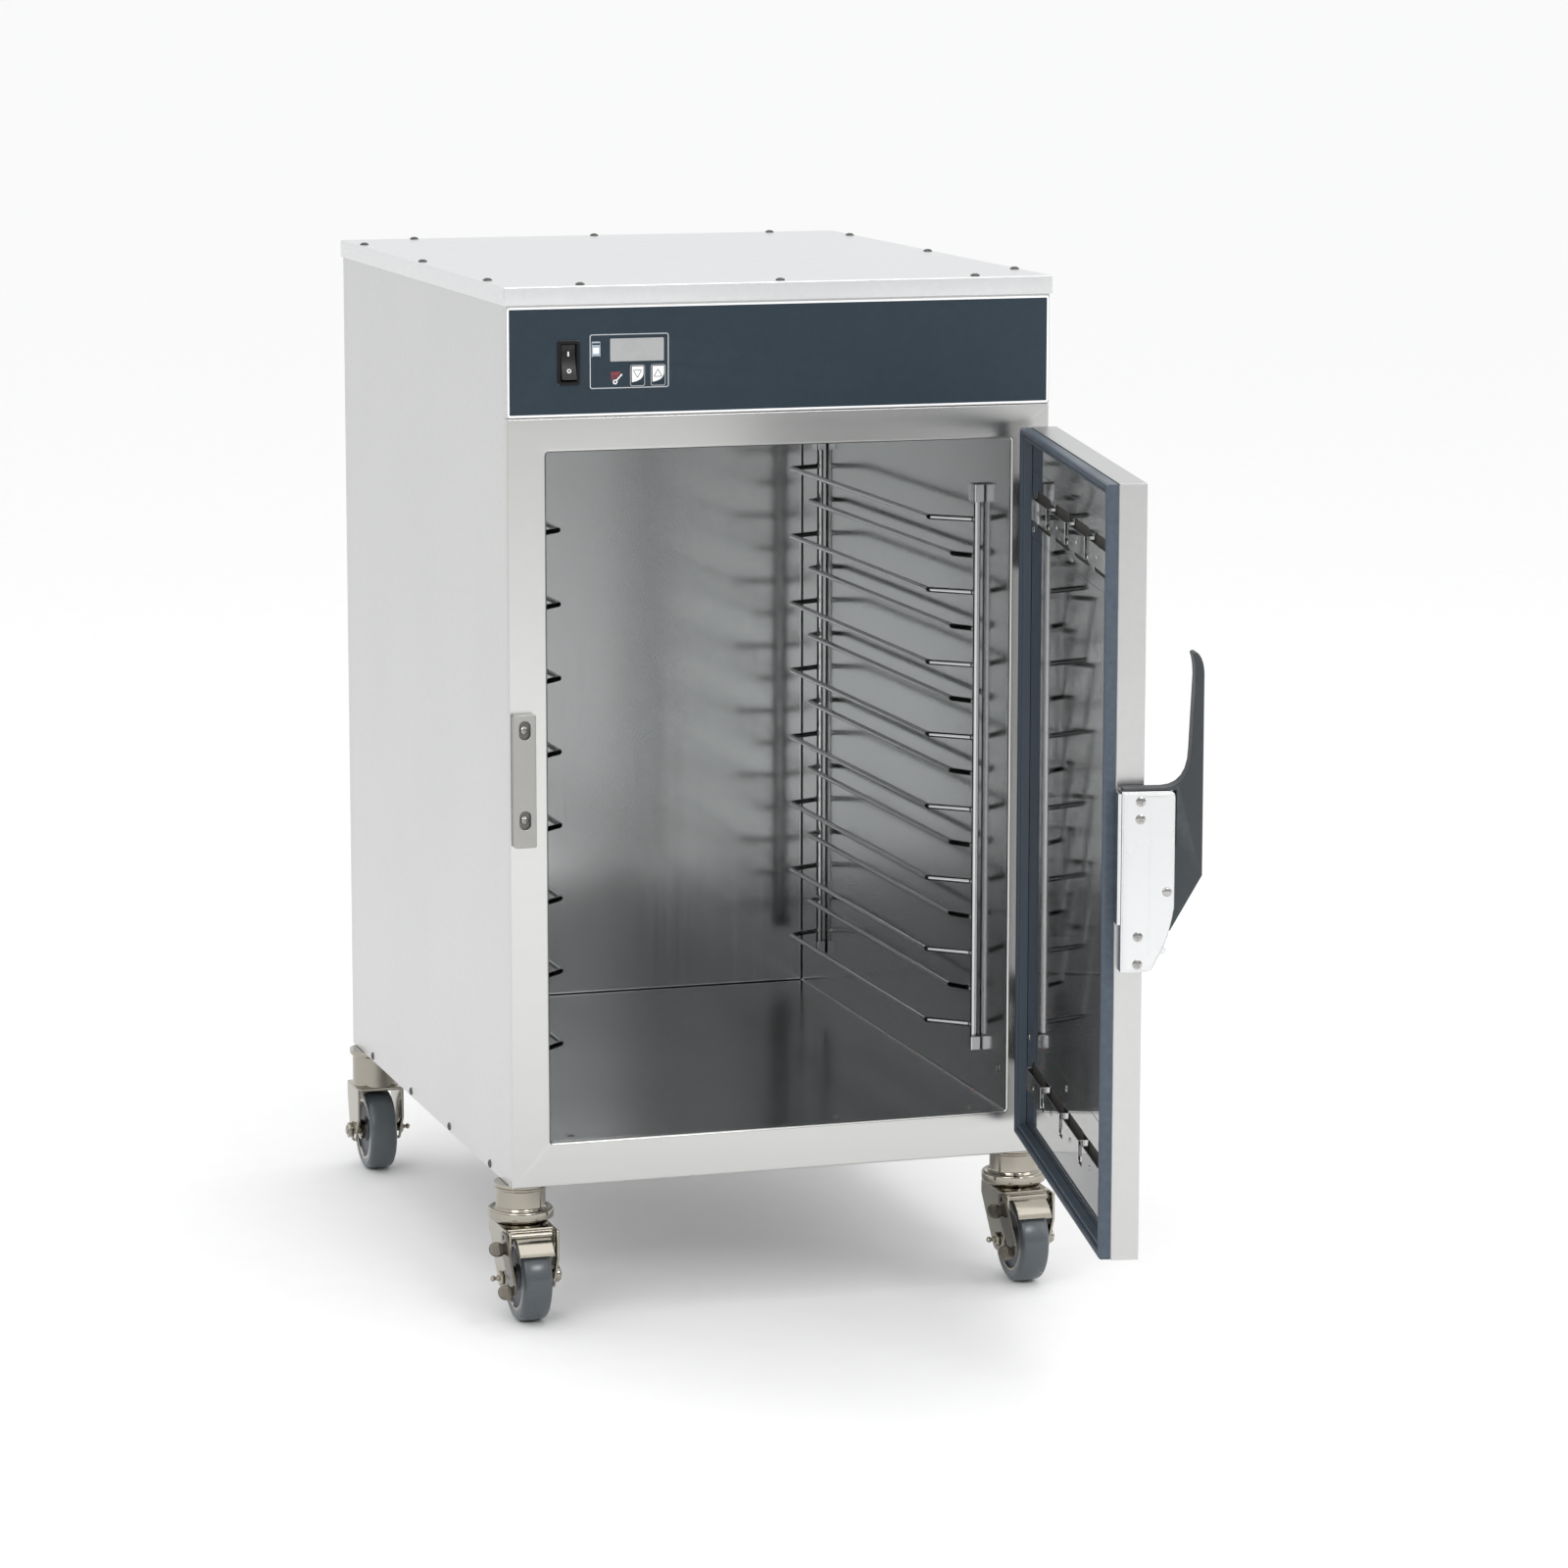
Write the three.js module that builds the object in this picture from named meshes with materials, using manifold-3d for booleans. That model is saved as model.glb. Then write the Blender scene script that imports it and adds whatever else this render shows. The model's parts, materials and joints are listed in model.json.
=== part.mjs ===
// Half-height heated food holding cabinet on casters, drawn with its door standing open.
// Millimetres, +Z up. X runs across the cabinet from its centre plane, Y runs back from the
// plane of the front frame, and Z starts at the floor.

import * as THREE from 'three';
import { mergeVertices } from 'three/addons/utils/BufferGeometryUtils.js';
import Module from 'manifold-3d';

const wasm = await Module();
wasm.setup();

// ---------------------------------------------------------------- driving dimensions

const GAP = 0.3;                 // clearance between pieces that touch
const SHEET = 1.2;               // casing sheet
const FRAME_SHEET = 1.5;         // front frame, control panel and door sheet

const BODY_HALF_WIDTH = 278.5;
const BODY_DEPTH = 708;
const BODY_BOTTOM = 136;
const BODY_TOP = BODY_BOTTOM + 891.3;

const CAP_HALF_WIDTH = 281;
const CAP_LIP = 18;
const CAP_OVERHANG = 2;
const CAP_SCREW = { radius: 4.6, height: 2.6 };
const CAP_SCREW_ROWS = { x: [-201, 2, 204], y: [12, BODY_DEPTH - 8] };
const CAP_SCREW_COLUMNS = { x: [-273.5, 273.5], y: [90, 360, 626] };

const FRAME_RETURN = 8;          // depth of the front frame's outer return
const BACK_WRAP = 13;            // depth of the back panel's wrap round each side

const OPENING_HALF_WIDTH = 239;
const OPENING_BOTTOM = BODY_BOTTOM + 44.3;
const OPENING_TOP = BODY_BOTTOM + 730.4;
const OPENING_RADIUS = 7;
const OPENING_RETURN = 10;       // depth of the rolled edge round the opening
const CAVITY_BACK = 690;

const PANEL_BOTTOM = BODY_BOTTOM + 764.4;

const LEVELS = 8;
const LEVEL_PITCH = 74.6;        // 2 15/16 in between pans
const FIRST_LEVEL = BODY_BOTTOM + 117.3;
const ROD_RADIUS = 3.6;
const ROD_X = OPENING_HALF_WIDTH - 5.2;
const ROD_FRONT_Y = 85.5;
const ROD_BACK_Y = 606.5;
const ROD_BOTTOM = BODY_BOTTOM + 96.3;
const ROD_TOP = BODY_BOTTOM + 676;
const WIRE_RADIUS = 2.75;
const WIDE_LOOP = { x: 195, front: 121, back: 589 };
const NARROW_LOOP = { x: 217.5, front: 113, back: 593 };
const RACK_WIRE_BEND = 7;

const DOOR_LEFT = -252;
const DOOR_RIGHT = 256.8;
const DOOR_BOTTOM = BODY_BOTTOM + 28.1;
const DOOR_TOP = BODY_BOTTOM + 744.7;
const DOOR_INNER_Y = -11.9;
const DOOR_THICKNESS = 25.9;
const DOOR_OUTER_Y = DOOR_INNER_Y - DOOR_THICKNESS;
const DOOR_OPEN_ANGLE = 79;      // degrees from closed, as drawn
const GASKET_WIDTH = 12;

const HINGE_PIN = { x: 264.8, y: -27.7, radius: 2.4, barrel: 5 };
const HINGE_HEIGHT = 90;
const HINGE_CENTRES = { upper: BODY_BOTTOM + 640, lower: BODY_BOTTOM + 132 };

const VENT_WINDOW = { left: DOOR_LEFT + 15.5, right: DOOR_RIGHT - 15.5 };
const VENT_BANDS = {
  top: { low: BODY_BOTTOM + 636, high: BODY_BOTTOM + 704, bridge: BODY_BOTTOM + 668 },
  bottom: { low: BODY_BOTTOM + 48, high: BODY_BOTTOM + 142, bridge: BODY_BOTTOM + 94.5 },
};
const VENT = { count: 4, pitch: 112, width: 88, height: 36, cover: 21, rise: 5.5, sheet: 1.2 };

const LATCH_WIDTH = 24;          // how far the latch stands off the door's free edge
const LATCH_BOTTOM = BODY_BOTTOM + 302;
const LATCH_TOP = BODY_BOTTOM + 468.5;
const LEVER_PIVOT = { out: 43.8, z: BODY_BOTTOM + 376, radius: 3 };

const WHEEL_RADIUS = 44.5;
const TREAD_WIDTH = 30;
const CASTER_X = 261;
const CASTER_FRONT_Y = 36;
const CASTER_BACK_Y = 676;
const CASTER_TRAIL = 27;
const FORK_TOP = 96;
const FORK_INNER = 23;
const FORK_OUTER = 26;
const AXLE_RADIUS = 5;

// ---------------------------------------------------------------- solids

/** Closed geometry to a manifold solid, with its faces turned outwards. */
function solid(geometry) {
  const bare = geometry.clone();
  bare.deleteAttribute('normal');
  bare.deleteAttribute('uv');
  const merged = mergeVertices(bare, 1e-3);
  const position = merged.attributes.position;
  const index = merged.index.array;
  const corner = (i) => new THREE.Vector3().fromBufferAttribute(position, i);
  const triangles = [];
  let volume = 0;
  for (let i = 0; i < index.length; i += 3) {
    const [a, b, c] = [index[i], index[i + 1], index[i + 2]];
    if (a === b || b === c || c === a) continue;
    triangles.push([a, b, c]);
    volume += corner(a).dot(corner(b).cross(corner(c)));
  }
  const ordered = volume < 0 ? triangles.map(([a, b, c]) => [a, c, b]) : triangles;
  return new wasm.Manifold(new wasm.Mesh({
    numProp: 3,
    vertProperties: new Float32Array(position.array),
    triVerts: new Uint32Array(ordered.flat()),
  }));
}

/** A manifold solid back to a three.js geometry. */
function geometryOf(body) {
  const mesh = body.getMesh();
  const geometry = new THREE.BufferGeometry();
  geometry.setAttribute('position', new THREE.BufferAttribute(mesh.vertProperties, 3));
  geometry.setIndex(new THREE.BufferAttribute(mesh.triVerts, 1));
  geometry.computeVertexNormals();
  return geometry;
}

const join = (...bodies) => bodies.flat().reduce((whole, body) => whole.add(body));
const cut = (body, ...tools) => tools.flat().reduce((rest, tool) => rest.subtract(tool), body);

function block(x, y, z) {
  const geometry = new THREE.BoxGeometry(x[1] - x[0], y[1] - y[0], z[1] - z[0]);
  geometry.translate((x[0] + x[1]) / 2, (y[0] + y[1]) / 2, (z[0] + z[1]) / 2);
  return solid(geometry);
}

/** Rounded rectangle in the plane of its two spans. */
function roundedRectangle(u, v, radius) {
  const shape = new THREE.Shape();
  shape.moveTo(u[0] + radius, v[0]);
  shape.lineTo(u[1] - radius, v[0]);
  shape.absarc(u[1] - radius, v[0] + radius, radius, -Math.PI / 2, 0, false);
  shape.lineTo(u[1], v[1] - radius);
  shape.absarc(u[1] - radius, v[1] - radius, radius, 0, Math.PI / 2, false);
  shape.lineTo(u[0] + radius, v[1]);
  shape.absarc(u[0] + radius, v[1] - radius, radius, Math.PI / 2, Math.PI, false);
  shape.lineTo(u[0], v[0] + radius);
  shape.absarc(u[0] + radius, v[0] + radius, radius, Math.PI, 1.5 * Math.PI, false);
  return shape;
}

const outline = (points) => new THREE.Shape(points.map(([u, v]) => new THREE.Vector2(u, v)));

function extruded(shape, depth, arcSteps) {
  return new THREE.ExtrudeGeometry(shape, { depth, bevelEnabled: false, curveSegments: arcSteps });
}

const X_AXIS = new THREE.Vector3(1, 0, 0);
const Y_AXIS = new THREE.Vector3(0, 1, 0);
const Z_AXIS = new THREE.Vector3(0, 0, 1);
const MINUS_Y = new THREE.Vector3(0, -1, 0);

/** Outline given in Y and Z, extruded along X. */
function alongX(shape, x, arcSteps = 4) {
  const geometry = extruded(shape, x[1] - x[0], arcSteps);
  geometry.applyMatrix4(new THREE.Matrix4().makeBasis(Y_AXIS, Z_AXIS, X_AXIS).setPosition(x[0], 0, 0));
  return solid(geometry);
}

/** Outline given in X and Z, extruded along Y. */
function alongY(shape, y, arcSteps = 4) {
  const geometry = extruded(shape, y[1] - y[0], arcSteps);
  geometry.applyMatrix4(new THREE.Matrix4().makeBasis(X_AXIS, Z_AXIS, MINUS_Y).setPosition(0, y[1], 0));
  return solid(geometry);
}

/** Outline given in X and Y, extruded along Z. */
function alongZ(shape, z, arcSteps = 4) {
  const geometry = extruded(shape, z[1] - z[0], arcSteps);
  geometry.translate(0, 0, z[0]);
  return solid(geometry);
}

/** Round bar between two points. */
function bar(from, to, radius, sides = 16) {
  const start = new THREE.Vector3(...from);
  const direction = new THREE.Vector3(...to).sub(start);
  const geometry = new THREE.CylinderGeometry(radius, radius, direction.length(), sides);
  geometry.translate(0, direction.length() / 2, 0);
  geometry.applyQuaternion(new THREE.Quaternion().setFromUnitVectors(Y_AXIS, direction.clone().normalize()));
  geometry.translate(start.x, start.y, start.z);
  return solid(geometry);
}

/** Profile of [radius, height] pairs turned about the vertical line through (x, y). */
function turned(profile, x, y, sides = 32) {
  const geometry = new THREE.LatheGeometry(profile.map(([r, h]) => new THREE.Vector2(r, h)), sides);
  geometry.rotateX(Math.PI / 2);
  geometry.translate(x, y, 0);
  return solid(geometry);
}

/** Path through fixed points, so that a swept section meets every one of them. */
class PointPath extends THREE.Curve {
  constructor(points) {
    super();
    this.points = points;
  }

  getPoint(t, target = new THREE.Vector3()) {
    const place = Math.min(t, 1) * (this.points.length - 1);
    const near = Math.min(Math.floor(place + 1e-9), this.points.length - 2);
    return target.copy(this.points[near]).lerp(this.points[near + 1], place - near);
  }

  getPointAt(t, target) {
    return this.getPoint(t, target);
  }

  getTangentAt(t, target = new THREE.Vector3()) {
    const at = Math.round(t * (this.points.length - 1));
    const before = this.points[Math.max(at - 1, 0)];
    const after = this.points[Math.min(at + 1, this.points.length - 1)];
    return target.copy(after).sub(before).normalize();
  }
}

/** Corner points with each inner corner replaced by an arc. */
function rounded(corners, radius, arcSteps) {
  const points = [corners[0]];
  for (let i = 1; i < corners.length - 1; i += 1) {
    const back = corners[i - 1].clone().sub(corners[i]).normalize();
    const ahead = corners[i + 1].clone().sub(corners[i]).normalize();
    const half = Math.acos(THREE.MathUtils.clamp(back.dot(ahead), -1, 1)) / 2;
    const toCentre = back.clone().add(ahead).normalize().multiplyScalar(radius / Math.sin(half));
    const centre = corners[i].clone().add(toCentre);
    const start = corners[i].clone().addScaledVector(back, radius / Math.tan(half)).sub(centre);
    const turn = new THREE.Vector3().crossVectors(back, ahead).normalize().negate();
    for (let step = 0; step <= arcSteps; step += 1) {
      const angle = (Math.PI - 2 * half) * step / arcSteps;
      points.push(start.clone().applyAxisAngle(turn, angle).add(centre));
    }
  }
  points.push(corners[corners.length - 1]);
  return points;
}

/** Round wire along a list of points. */
function wire(points, radius, sides) {
  const section = new THREE.Shape();
  for (let i = 0; i < sides; i += 1) {
    const angle = 2 * Math.PI * (i + 0.5) / sides;
    const place = [radius * Math.cos(angle), radius * Math.sin(angle)];
    if (i === 0) section.moveTo(...place);
    else section.lineTo(...place);
  }
  section.closePath();
  return solid(new THREE.ExtrudeGeometry(section, {
    steps: points.length - 1,
    bevelEnabled: false,
    extrudePath: new PointPath(points),
  }));
}

// ---------------------------------------------------------------- scene helpers

const material = (color, roughness, metalness) =>
  new THREE.MeshStandardMaterial({ color, roughness, metalness });

const FINISH = {
  skin: () => material('#c9ccce', 0.38, 1),
  bright: () => material('#d7dadb', 0.22, 1),
  polished: () => material('#9a9fa1', 0.15, 1),
  chrome: () => material('#c4c7c9', 0.12, 1),
  panel: () => material('#323e48', 0.5, 0),
  black: () => material('#16181a', 0.4, 0),
  window: () => material('#b9bdbb', 0.25, 0),
  key: () => material('#e8ebec', 0.5, 0),
  lamp: () => material('#f2f4f4', 0.3, 0),
  vinyl: () => material('#4a5a6e', 0.55, 0),
  lever: () => material('#474d52', 0.45, 0),
  wheel: () => material('#56616d', 0.5, 0),
  wool: () => material('#d8cfa8', 0.95, 0),
  cable: () => material('#b0543a', 0.6, 0),
  board: () => material('#2e6b45', 0.5, 0),
  iron: () => material('#5b5e62', 0.5, 0.8),
};

const cabinet = new THREE.Group();

function place(name, body, finish, parent = cabinet) {
  const mesh = new THREE.Mesh(geometryOf(body), finish());
  mesh.name = name;
  parent.add(mesh);
  return mesh;
}

// ---------------------------------------------------------------- casing

function sidePanel(side) {
  const outer = side * BODY_HALF_WIDTH;
  const inner = side * (BODY_HALF_WIDTH - SHEET);
  const flange = side * (BODY_HALF_WIDTH - 16);
  const span = (a, b) => [Math.min(a, b), Math.max(a, b)];
  const depth = [FRAME_RETURN + GAP, BODY_DEPTH - BACK_WRAP - GAP];
  const top = BODY_TOP - 1.9;
  return join(
    block(span(inner, outer), depth, [BODY_BOTTOM, top]),
    block(span(flange, inner), depth, [BODY_BOTTOM, BODY_BOTTOM + SHEET]),
    block(span(flange, inner), [depth[0] + 10, depth[1]], [top - SHEET, top]),
  );
}

const GLAND = { x: 205, z: BODY_BOTTOM + 820, hole: 11 };

function backPanel() {
  const height = [BODY_BOTTOM, BODY_TOP - 1.9];
  const front = BODY_DEPTH - BACK_WRAP;
  const inside = BODY_HALF_WIDTH - SHEET;
  const whole = block([-BODY_HALF_WIDTH, BODY_HALF_WIDTH], [front, BODY_DEPTH], height);
  const hollow = block([-inside, inside], [front - 1, BODY_DEPTH - SHEET], [height[0] - 1, height[1] + 1]);
  const hole = bar([GLAND.x, front, GLAND.z], [GLAND.x, BODY_DEPTH + 1, GLAND.z], GLAND.hole, 24);
  return cut(whole, hollow, hole);
}

function topCover() {
  const wall = 1.5;
  const front = -CAP_OVERHANG;
  const back = BODY_DEPTH + CAP_OVERHANG;
  const whole = alongZ(
    roundedRectangle([-CAP_HALF_WIDTH, CAP_HALF_WIDTH], [front, back], 2), [BODY_TOP - CAP_LIP, BODY_TOP], 3);
  const half = CAP_HALF_WIDTH - wall;
  const inside = block([-half, half], [front + wall, back - wall], [BODY_TOP - CAP_LIP - 1, BODY_TOP - wall]);
  const screws = [CAP_SCREW_ROWS, CAP_SCREW_COLUMNS].flatMap(
    ({ x, y }) => x.flatMap((across) => y.map((along) => capScrew(across, along))));
  return join(cut(whole, inside), screws);
}

/** Domed screw head standing on the top cover. */
function capScrew(x, y) {
  const { radius, height } = CAP_SCREW;
  return turned([
    [0, BODY_TOP - 0.5], [radius, BODY_TOP - 0.5], [radius, BODY_TOP + 0.3 * height],
    [0.8 * radius, BODY_TOP + 0.75 * height], [0.45 * radius, BODY_TOP + height], [0, BODY_TOP + height],
  ], x, y, 12);
}

function basePan() {
  const half = BODY_HALF_WIDTH - 16 - GAP;
  const depth = [30 + GAP, BODY_DEPTH - BACK_WRAP - GAP];
  const pan = block([-half, half], depth, [BODY_BOTTOM, BODY_BOTTOM + 2]);
  const ribs = [-120, 0, 120].map((x) => block([x - 8, x + 8], [60, 660], [BODY_BOTTOM + 1, BODY_BOTTOM + 3.2]));
  return join(pan, ribs);
}

function frontFrame() {
  const top = PANEL_BOTTOM - GAP;
  const opening = [[-OPENING_HALF_WIDTH, OPENING_HALF_WIDTH], [OPENING_BOTTOM, OPENING_TOP]];
  const grow = (pair, by) => [pair[0] - by, pair[1] + by];
  const plate = block([-BODY_HALF_WIDTH, BODY_HALF_WIDTH], [0, FRAME_SHEET], [BODY_BOTTOM, top]);
  const rolled = alongY(
    roundedRectangle(grow(opening[0], FRAME_SHEET), grow(opening[1], FRAME_SHEET), OPENING_RADIUS + FRAME_SHEET),
    [0, OPENING_RETURN]);
  const returns = [-1, 1].map((side) => {
    const edge = [side * BODY_HALF_WIDTH, side * (BODY_HALF_WIDTH - FRAME_SHEET)].sort((a, b) => a - b);
    return block(edge, [0, FRAME_RETURN], [BODY_BOTTOM, top]);
  });
  const foot = block([-BODY_HALF_WIDTH + 1, BODY_HALF_WIDTH - 1], [0, FRAME_RETURN], [BODY_BOTTOM, BODY_BOTTOM + 1.5]);
  const apron = block([-262, 262], [0, 30], [BODY_BOTTOM, BODY_BOTTOM + 1.5]);
  const head = block([-270, 270], [0, OPENING_RETURN], [top - FRAME_SHEET, top]);
  const hole = alongY(roundedRectangle(opening[0], opening[1], OPENING_RADIUS), [-1, OPENING_RETURN + 1]);
  return cut(join(plate, rolled, returns, foot, apron, head), hole);
}

function liner() {
  const wall = SHEET;
  const x = [-OPENING_HALF_WIDTH, OPENING_HALF_WIDTH];
  const z = [OPENING_BOTTOM, OPENING_TOP];
  const outside = roundedRectangle([x[0] - wall, x[1] + wall], [z[0] - wall, z[1] + wall], OPENING_RADIUS + wall);
  const inside = roundedRectangle(x, z, OPENING_RADIUS);
  const front = OPENING_RETURN + GAP;
  return cut(alongY(outside, [front, CAVITY_BACK + wall]), alongY(inside, [front - 1, CAVITY_BACK]));
}

const JACKET = { gap: 6.5, half: 276.2, low: BODY_BOTTOM + 3.6, high: PANEL_BOTTOM - 2.6 };

function insulation() {
  const inner = OPENING_HALF_WIDTH + JACKET.gap;
  return cut(
    block([-JACKET.half, JACKET.half], [OPENING_RETURN + 2, BODY_DEPTH - 3], [JACKET.low, JACKET.high]),
    block([-inner, inner], [0, CAVITY_BACK + JACKET.gap],
      [OPENING_BOTTOM - JACKET.gap, OPENING_TOP + JACKET.gap]),
  );
}

/** Resistance cable wound round the outside of the liner from front to back. */
function heatingCable() {
  const turns = 6;
  const radius = 1.9;
  const stand = SHEET + GAP + radius;
  const x = OPENING_HALF_WIDTH + stand;
  const low = OPENING_BOTTOM - stand;
  const high = OPENING_TOP + stand;
  const [front, back] = [60, 630];
  const corners = [new THREE.Vector3(0, front, high)];
  const ring = [[x, high], [x, low], [-x, low], [-x, high]];
  for (let turn = 0; turn < turns; turn += 1) {
    ring.forEach(([cx, cz], i) => {
      const along = (turn + (i + 0.5) / 4) / turns;
      corners.push(new THREE.Vector3(cx, front + (back - front) * along, cz));
    });
  }
  corners.push(new THREE.Vector3(0, back, high));
  return wire(rounded(corners, OPENING_RADIUS + stand, 3), radius, 6);
}

function temperatureSensor() {
  const x = OPENING_HALF_WIDTH + SHEET + GAP + 2;
  const z = OPENING_TOP - 160;
  const capsule = bar([x, 650, z], [x, 682, z], 1.9, 12);
  const clip = block([x - 2, x + 2], [656, 662], [z - 7, z + 7]);
  return join(capsule, clip);
}

place('side_panel_left', sidePanel(-1), FINISH.skin);
place('side_panel_right', sidePanel(1), FINISH.skin);
place('back_panel', backPanel(), FINISH.skin);
place('top_cover', topCover(), FINISH.bright);
place('base_pan', basePan(), FINISH.skin);
place('front_frame', frontFrame(), FINISH.bright);
place('liner', liner(), FINISH.polished);
place('insulation', insulation(), FINISH.wool);
place('heating_cable', heatingCable(), FINISH.cable);
place('temperature_sensor', temperatureSensor(), FINISH.chrome);

// ---------------------------------------------------------------- control panel

const SWITCH = { x: -216.3, z: BODY_BOTTOM + 816.9, tilt: 10, pivotY: 1.5 };
const DISPLAY = { x: [-174.4, -120.2], z: [BODY_BOTTOM + 817, BODY_BOTTOM + 839.4] };
const LAMP = { x: [-193, -184.2], z: [BODY_BOTTOM + 821, BODY_BOTTOM + 836.9] };
const KEY = { width: 12, height: 15.8, z: BODY_BOTTOM + 804.2, downX: -147, upX: -126.2 };

const around = (centre, half) => [centre - half, centre + half];
const grown = (pair, by) => [pair[0] - by, pair[1] + by];

function controlPanel() {
  const half = BODY_HALF_WIDTH - 0.2;
  const top = BODY_TOP - 1.9;
  const face = block([-half, half], [0, FRAME_SHEET], [PANEL_BOTTOM, top]);
  const sill = block([-262, 262], [0, 12], [PANEL_BOTTOM, PANEL_BOTTOM + FRAME_SHEET]);
  const sides = [-1, 1].map((side) => {
    const edge = [side * half, side * (half - FRAME_SHEET)].sort((a, b) => a - b);
    return block(edge, [0, FRAME_RETURN], [PANEL_BOTTOM, top]);
  });
  const window = (x, z, radius) => alongY(roundedRectangle(x, z, radius), [-1, FRAME_SHEET + 1]);
  const keyWindow = (x) => window(around(x, KEY.width / 2 + GAP), around(KEY.z, KEY.height / 2 + GAP), 1.2);
  return cut(
    join(face, sill, sides),
    window(around(SWITCH.x, 9.6), around(SWITCH.z, 19.8), 1.5),
    window(grown(DISPLAY.x, GAP), grown(DISPLAY.z, GAP), 1),
    window(grown(LAMP.x, GAP), grown(LAMP.z, GAP), 1),
    keyWindow(KEY.downX),
    keyWindow(KEY.upX),
  );
}

function switchBezel() {
  const flange = alongY(roundedRectangle(around(SWITCH.x, 11.2), around(SWITCH.z, 21.4), 2.5), [-1.8, -GAP]);
  const housing = alongY(roundedRectangle(around(SWITCH.x, 9.3), around(SWITCH.z, 19.4), 1.5), [-1, 22]);
  const well = block(around(SWITCH.x, 7.8), [-3, 20.5], around(SWITCH.z, 18));
  return cut(join(flange, housing), well);
}

/** Rocker about its own pivot line, both halves level. */
function switchRocker() {
  const profile = outline([[-3.9, -17], [3, -16], [5.5, 0], [3, 16], [-3.9, 17], [-1.9, 0]]);
  return alongX(profile, [-7.5, 7.5]);
}

const keyCap = (x) => alongY(
  roundedRectangle(around(x, KEY.width / 2), around(KEY.z, KEY.height / 2), 1), [-0.7, 1.2]);

function displayWindow() {
  return alongY(roundedRectangle(DISPLAY.x, DISPLAY.z, 1), [-0.3, 5]);
}

function indicatorLamp() {
  return alongY(roundedRectangle(LAMP.x, LAMP.z, 1), [-0.3, 5]);
}

function circuitBoard() {
  const board = block([-238, -88], [30, 31.8], [PANEL_BOTTOM + 14, PANEL_BOTTOM + 98]);
  const chip = (x, z, w, h, rise) => block([x - w / 2, x + w / 2], [31, 31 + rise], [z - h / 2, z + h / 2]);
  const z = PANEL_BOTTOM + 56;
  return join(
    board,
    chip(-205, z + 14, 22, 22, 4),
    chip(-165, z - 8, 30, 24, 15),
    chip(-122, z + 12, 28, 24, 15),
    chip(-200, z - 22, 40, 10, 9),
  );
}

function transformer() {
  const floor = JACKET.high + GAP;
  const core = block([60, 132], [70, 130], [floor, floor + 64]);
  const foot = block([48, 144], [80, 120], [floor, floor + 3]);
  const coil = block([74, 118], [56, 144], [floor + 12, floor + 52]);
  return join(core, foot, coil);
}

function cordGland() {
  const ring = (radius, y0, y1, sides = 24) => bar([GLAND.x, y0, GLAND.z], [GLAND.x, y1, GLAND.z], radius, sides);
  const shank = ring(GLAND.hole - GAP, BODY_DEPTH - 9, BODY_DEPTH + 3);
  const nut = ring(15, BODY_DEPTH - 9, BODY_DEPTH - SHEET - GAP, 6);
  const dome = join(ring(14.5, BODY_DEPTH + GAP, BODY_DEPTH + 6), ring(11.5, BODY_DEPTH + 5, BODY_DEPTH + 15));
  return cut(join(shank, nut, dome), ring(5.5, BODY_DEPTH - 20, BODY_DEPTH + 20));
}

place('control_panel', controlPanel(), FINISH.panel);
place('switch_bezel', switchBezel(), FINISH.black);
const rocker = place('switch_rocker', switchRocker(), FINISH.black);
rocker.position.set(SWITCH.x, SWITCH.pivotY, SWITCH.z);
rocker.rotation.x = THREE.MathUtils.degToRad(-SWITCH.tilt);
place('display_window', displayWindow(), FINISH.window);
place('indicator_lamp', indicatorLamp(), FINISH.lamp);
place('key_down', keyCap(KEY.downX), FINISH.key);
place('key_up', keyCap(KEY.upX), FINISH.key);
place('circuit_board', circuitBoard(), FINISH.board);
place('transformer', transformer(), FINISH.iron);
place('cord_gland', cordGland(), FINISH.black);

// ---------------------------------------------------------------- pan racks

/** One bracket wire from the front rod round to the back rod. */
function rackLoop(side, loop, z) {
  const point = (x, y) => new THREE.Vector3(side * x, y, z);
  const corners = [
    point(ROD_X, ROD_FRONT_Y), point(loop.x, loop.front), point(loop.x, loop.back), point(ROD_X, ROD_BACK_Y),
  ];
  return wire(rounded(corners, RACK_WIRE_BEND, 3), WIRE_RADIUS, 6);
}

function rack(side) {
  const rod = (y) => bar([side * ROD_X, y, ROD_BOTTOM], [side * ROD_X, y, ROD_TOP], ROD_RADIUS, 12);
  const loops = [];
  for (let level = 0; level < LEVELS; level += 1) {
    const z = FIRST_LEVEL + level * LEVEL_PITCH;
    loops.push(rackLoop(side, WIDE_LOOP, z));
    if (level < LEVELS - 1) loops.push(rackLoop(side, NARROW_LOOP, z + LEVEL_PITCH / 2));
  }
  return join(rod(ROD_FRONT_Y), rod(ROD_BACK_Y), loops);
}

/** Wall clip round a rod: the upper ones are open right through, the lower ones have a floor. */
function rackClip(side, y, level) {
  const wallX = side * (OPENING_HALF_WIDTH - GAP);
  const faceX = side * (OPENING_HALF_WIDTH - 11.5);
  const x = [Math.min(wallX, faceX), Math.max(wallX, faceX)];
  const z = level === 'top' ? [ROD_TOP - 18, ROD_TOP] : [ROD_BOTTOM - 4.3, ROD_BOTTOM + 9.5];
  const boreFrom = level === 'top' ? z[0] - 1 : ROD_BOTTOM - GAP;
  const body = alongZ(roundedRectangle(x, around(y, 10), 2), z, 2);
  return cut(body, bar([side * ROD_X, y, boreFrom], [side * ROD_X, y, z[1] + 1], ROD_RADIUS + 0.7, 16));
}

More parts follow.
